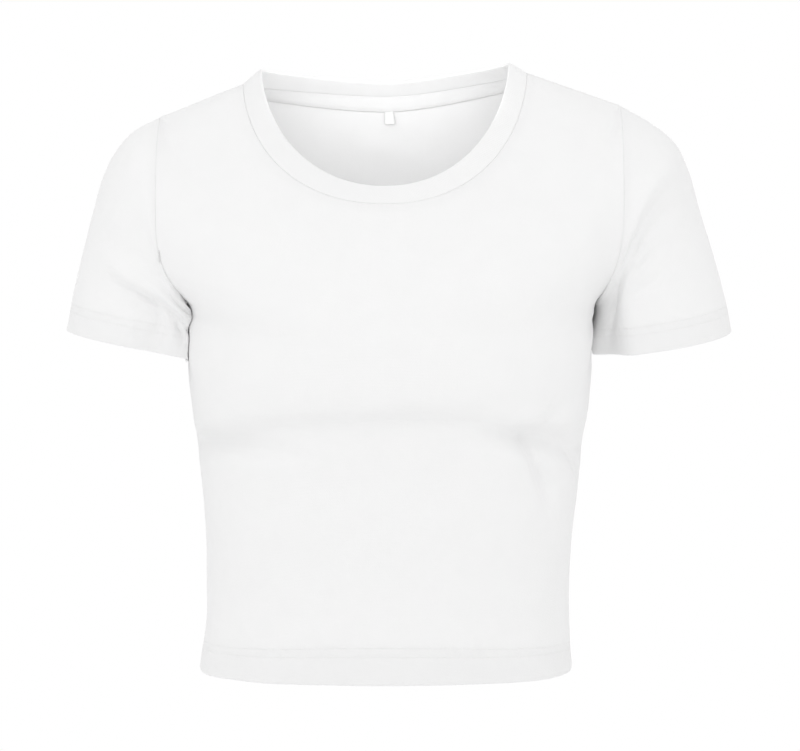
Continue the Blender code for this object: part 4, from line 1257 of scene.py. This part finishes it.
def build_neckband(panels):
    """The rib neckband: a folded band from the neck seam up to the edge and down inside."""
    seam = np.concatenate([panels["front"][-1], panels["back"][-1][1:]])
    front = neck_edge("front", -1, FRONT_COLUMNS)
    edge = np.concatenate([front, neck_edge("back", +1, BACK_COLUMNS)[1:]])
    outside = seam + (edge - seam) * BAND_ROWS[:, None, None]
    normals = grid_normals(outside, tube=True)
    bulge = BAND_BULGE * np.sin(math.pi * BAND_ROWS)[:, None]
    height = bulge + beside_seam(lengths_down(outside))
    outside = outside + normals * height[:, :, None]
    outside[:, -1] = outside[:, 0]
    outside = outside[::-1]
    normals = -grid_normals(outside, tube=True)
    whole = turn_up(outside, normals, np.arange(len(outside)), len(outside))[::-1]
    band = grid_piece("neckband_rib", whole, RIB_CLOTH, metric_map(whole), RIB, tube=True)
    return [put(band, "neckband")]


def build_tape(back, facing):
    """The tape over the back neck seam, with a row of stitches along each of its edges."""
    edges = (0.1, TAPE_INSET + TAPE_WIDTH)
    needles = (edges[0] + TAPE_NEEDLES, edges[1] - TAPE_NEEDLES)
    inner = slice(TAPE_ENDS, -TAPE_ENDS)
    grid, normals = back[::-1, inner], facing[::-1, inner]
    distances = np.linspace(*edges, TAPE_ROWS)
    dip = sum(
        depth * np.exp(-(((distances - at) / reach) ** 2))
        for places, depth, reach in ((edges, *EDGE_DIP), (needles, *STITCH_DIP))
        for at in places
    )
    shape, inwards = off_edge(grid, normals, distances)
    points = (shape - inwards * (TAPE_DEPTH - dip)[:, None, None])[::-1]
    tape = grid_piece("neck_tape_cloth", points, TAPE_CLOTH, metric_map(points), -TAPE)
    pieces = [put(tape, "neck_tape")]
    for number, at in enumerate(needles, 1):
        (line,), (out,) = off_edge(grid, normals, [at])
        behind = line - out * (TAPE_DEPTH + 0.45)
        for name, places, facing_of, slot in (
            ("tape_stitches_%d", behind, -out, "tape"),
            ("back_neck_stitches_%d", line, out, "jersey"),
        ):
            row = stitch_row(name % number, places, facing_of, THREADS, TAPE_STITCH)
            pieces.append(put(row))
    return pieces


def build_label(back, facing):
    """The size label: a narrow folded ribbon that hangs from the lower edge of the tape."""
    middle = back.shape[1] // 2
    pitch = np.linalg.norm(back[LABEL_ROW, middle] - back[LABEL_ROW, middle + 1])
    half = LABEL_WIDTH / 2 / pitch
    places = middle - LABEL_CENTRE / pitch + np.linspace(-half, half, LABEL_COLUMNS)
    top = TAPE_INSET + TAPE_WIDTH - 0.6
    narrow = (
        between(points[::-1].transpose(1, 0, 2), places).transpose(1, 0, 2)
        for points in (back, facing)
    )
    line, normals = off_edge(*narrow, np.linspace(top, top + LABEL_LENGTH + 0.4, LABEL_ROWS))
    lean = (LABEL_STAND_OFF + 0.3) * np.linspace(0, 1, LABEL_ROWS) ** 1.5
    leaf = (line - normals * (LABEL_DEPTH + lean)[:, None, None])[::-1]
    whole = turn_up(leaf, -normals[::-1], np.arange(LABEL_ROWS), LABEL_ROWS - 2)
    label = grid_piece("size_label_satin", whole, SATIN, metric_map(whole), RIBBON)
    return [put(label, "size_label")]


made = build()


# ================================================================ stage, lights and camera

FLOOR_HEIGHT = -0.62
FLOOR_RADIUS = 0.65


def build_stage():
    values = {"Base Color": srgb("#FCFCFC"), "Roughness": 0.95, "Specular IOR Level": 0.1}
    paper, _ = new_material("stage paper", **values)
    shape = bmesh.new()
    down = Matrix.Translation((0, 0, FLOOR_HEIGHT))
    bmesh.ops.create_circle(shape, cap_ends=True, segments=96, radius=FLOOR_RADIUS, matrix=down)
    finished("floor", shape, paper)


def placed(data, place, backwards):
    """Puts a light or the camera at a place, turned so that backwards is behind it."""
    holder = bpy.data.objects.new(data.name, data)
    holder.location = place
    holder.rotation_euler = backwards.to_track_quat("Z", "Y").to_euler()
    bpy.context.scene.collection.objects.link(holder)
    return holder


# Broad soft lights in a white room: the angles round from the camera and up from level that
# each comes from, its strength and how wide a patch of sky it fills.
SOFTBOXES = table(
    "name round up strength width",
    ("left_softbox", -45, 45, 0.25, 55),
    ("right_softbox", 40, 50, 0.18, 55),
    ("front_softbox", 0, -25, 0.37, 55),
)
SURROUND = 0.915  # brightness of the white room
# A small lamp in the top, for the inside of the back of the neck.
LAMP_POWER, LAMP_WIDTH, LAMP_HEIGHT = 0.07, 0.13, 0.05
LAMP_PLACE, LAMP_AIM = Vector((0.0, -0.035, -0.045)), Vector((0.0, 0.08, -0.06))


def softbox(box):
    light = bpy.data.lights.new(box.name, "SUN")
    light.energy = box.strength
    light.angle = math.radians(box.width)
    up, side = math.radians(box.up), math.radians(box.round)
    level = math.cos(up)
    towards = Vector((math.sin(side) * level, -math.cos(side) * level, math.sin(up)))
    placed(light, (0.0, 0.0, 1.0), towards).visible_camera = False


def lamp_inside():
    light = bpy.data.lights.new("lamp_inside", "AREA")
    light.shape = "RECTANGLE"
    light.size, light.size_y = LAMP_WIDTH, LAMP_HEIGHT
    light.energy = LAMP_POWER
    placed(light, LAMP_PLACE, LAMP_PLACE - LAMP_AIM).visible_camera = False


def build_lights():
    for box in SOFTBOXES:
        softbox(box)
    lamp_inside()
    world = bpy.data.worlds.new("studio")
    world.use_nodes = True
    tree = world.node_tree
    white = srgb("#FFFFFF")
    around = tree.nodes["Background"]
    around.inputs["Color"].default_value = white
    around.inputs["Strength"].default_value = SURROUND
    behind = add(tree, "ShaderNodeBackground", {"Color": white, "Strength": 1.0})
    seen = add(tree, "ShaderNodeLightPath")["Is Camera Ray"]
    mix = add(tree, "ShaderNodeMixShader", (seen, around.outputs[0], behind[0]))
    tree.links.new(mix[0], tree.nodes["World Output"].inputs["Surface"])
    bpy.context.scene.world = world


CAMERA_DISTANCE = 2.2
CAMERA_HEIGHT = -0.104
CAMERA_SIDE = 0.0088
AIM_HEIGHT = -0.226
FRAME_WIDTH = 0.584  # what the frame takes in at the side seams


def build_camera():
    camera = bpy.data.cameras.new("camera")
    camera.sensor_fit = "HORIZONTAL"
    camera.sensor_width = 36.0
    place = Vector((CAMERA_SIDE, -CAMERA_DISTANCE, CAMERA_HEIGHT))
    back = place - Vector((CAMERA_SIDE, 0.0, AIM_HEIGHT))
    camera.lens = camera.sensor_width * back.length / FRAME_WIDTH
    bpy.context.scene.camera = placed(camera, place, back)


build_stage()
build_lights()
build_camera()
bpy.context.scene.view_settings.view_transform = "Standard"
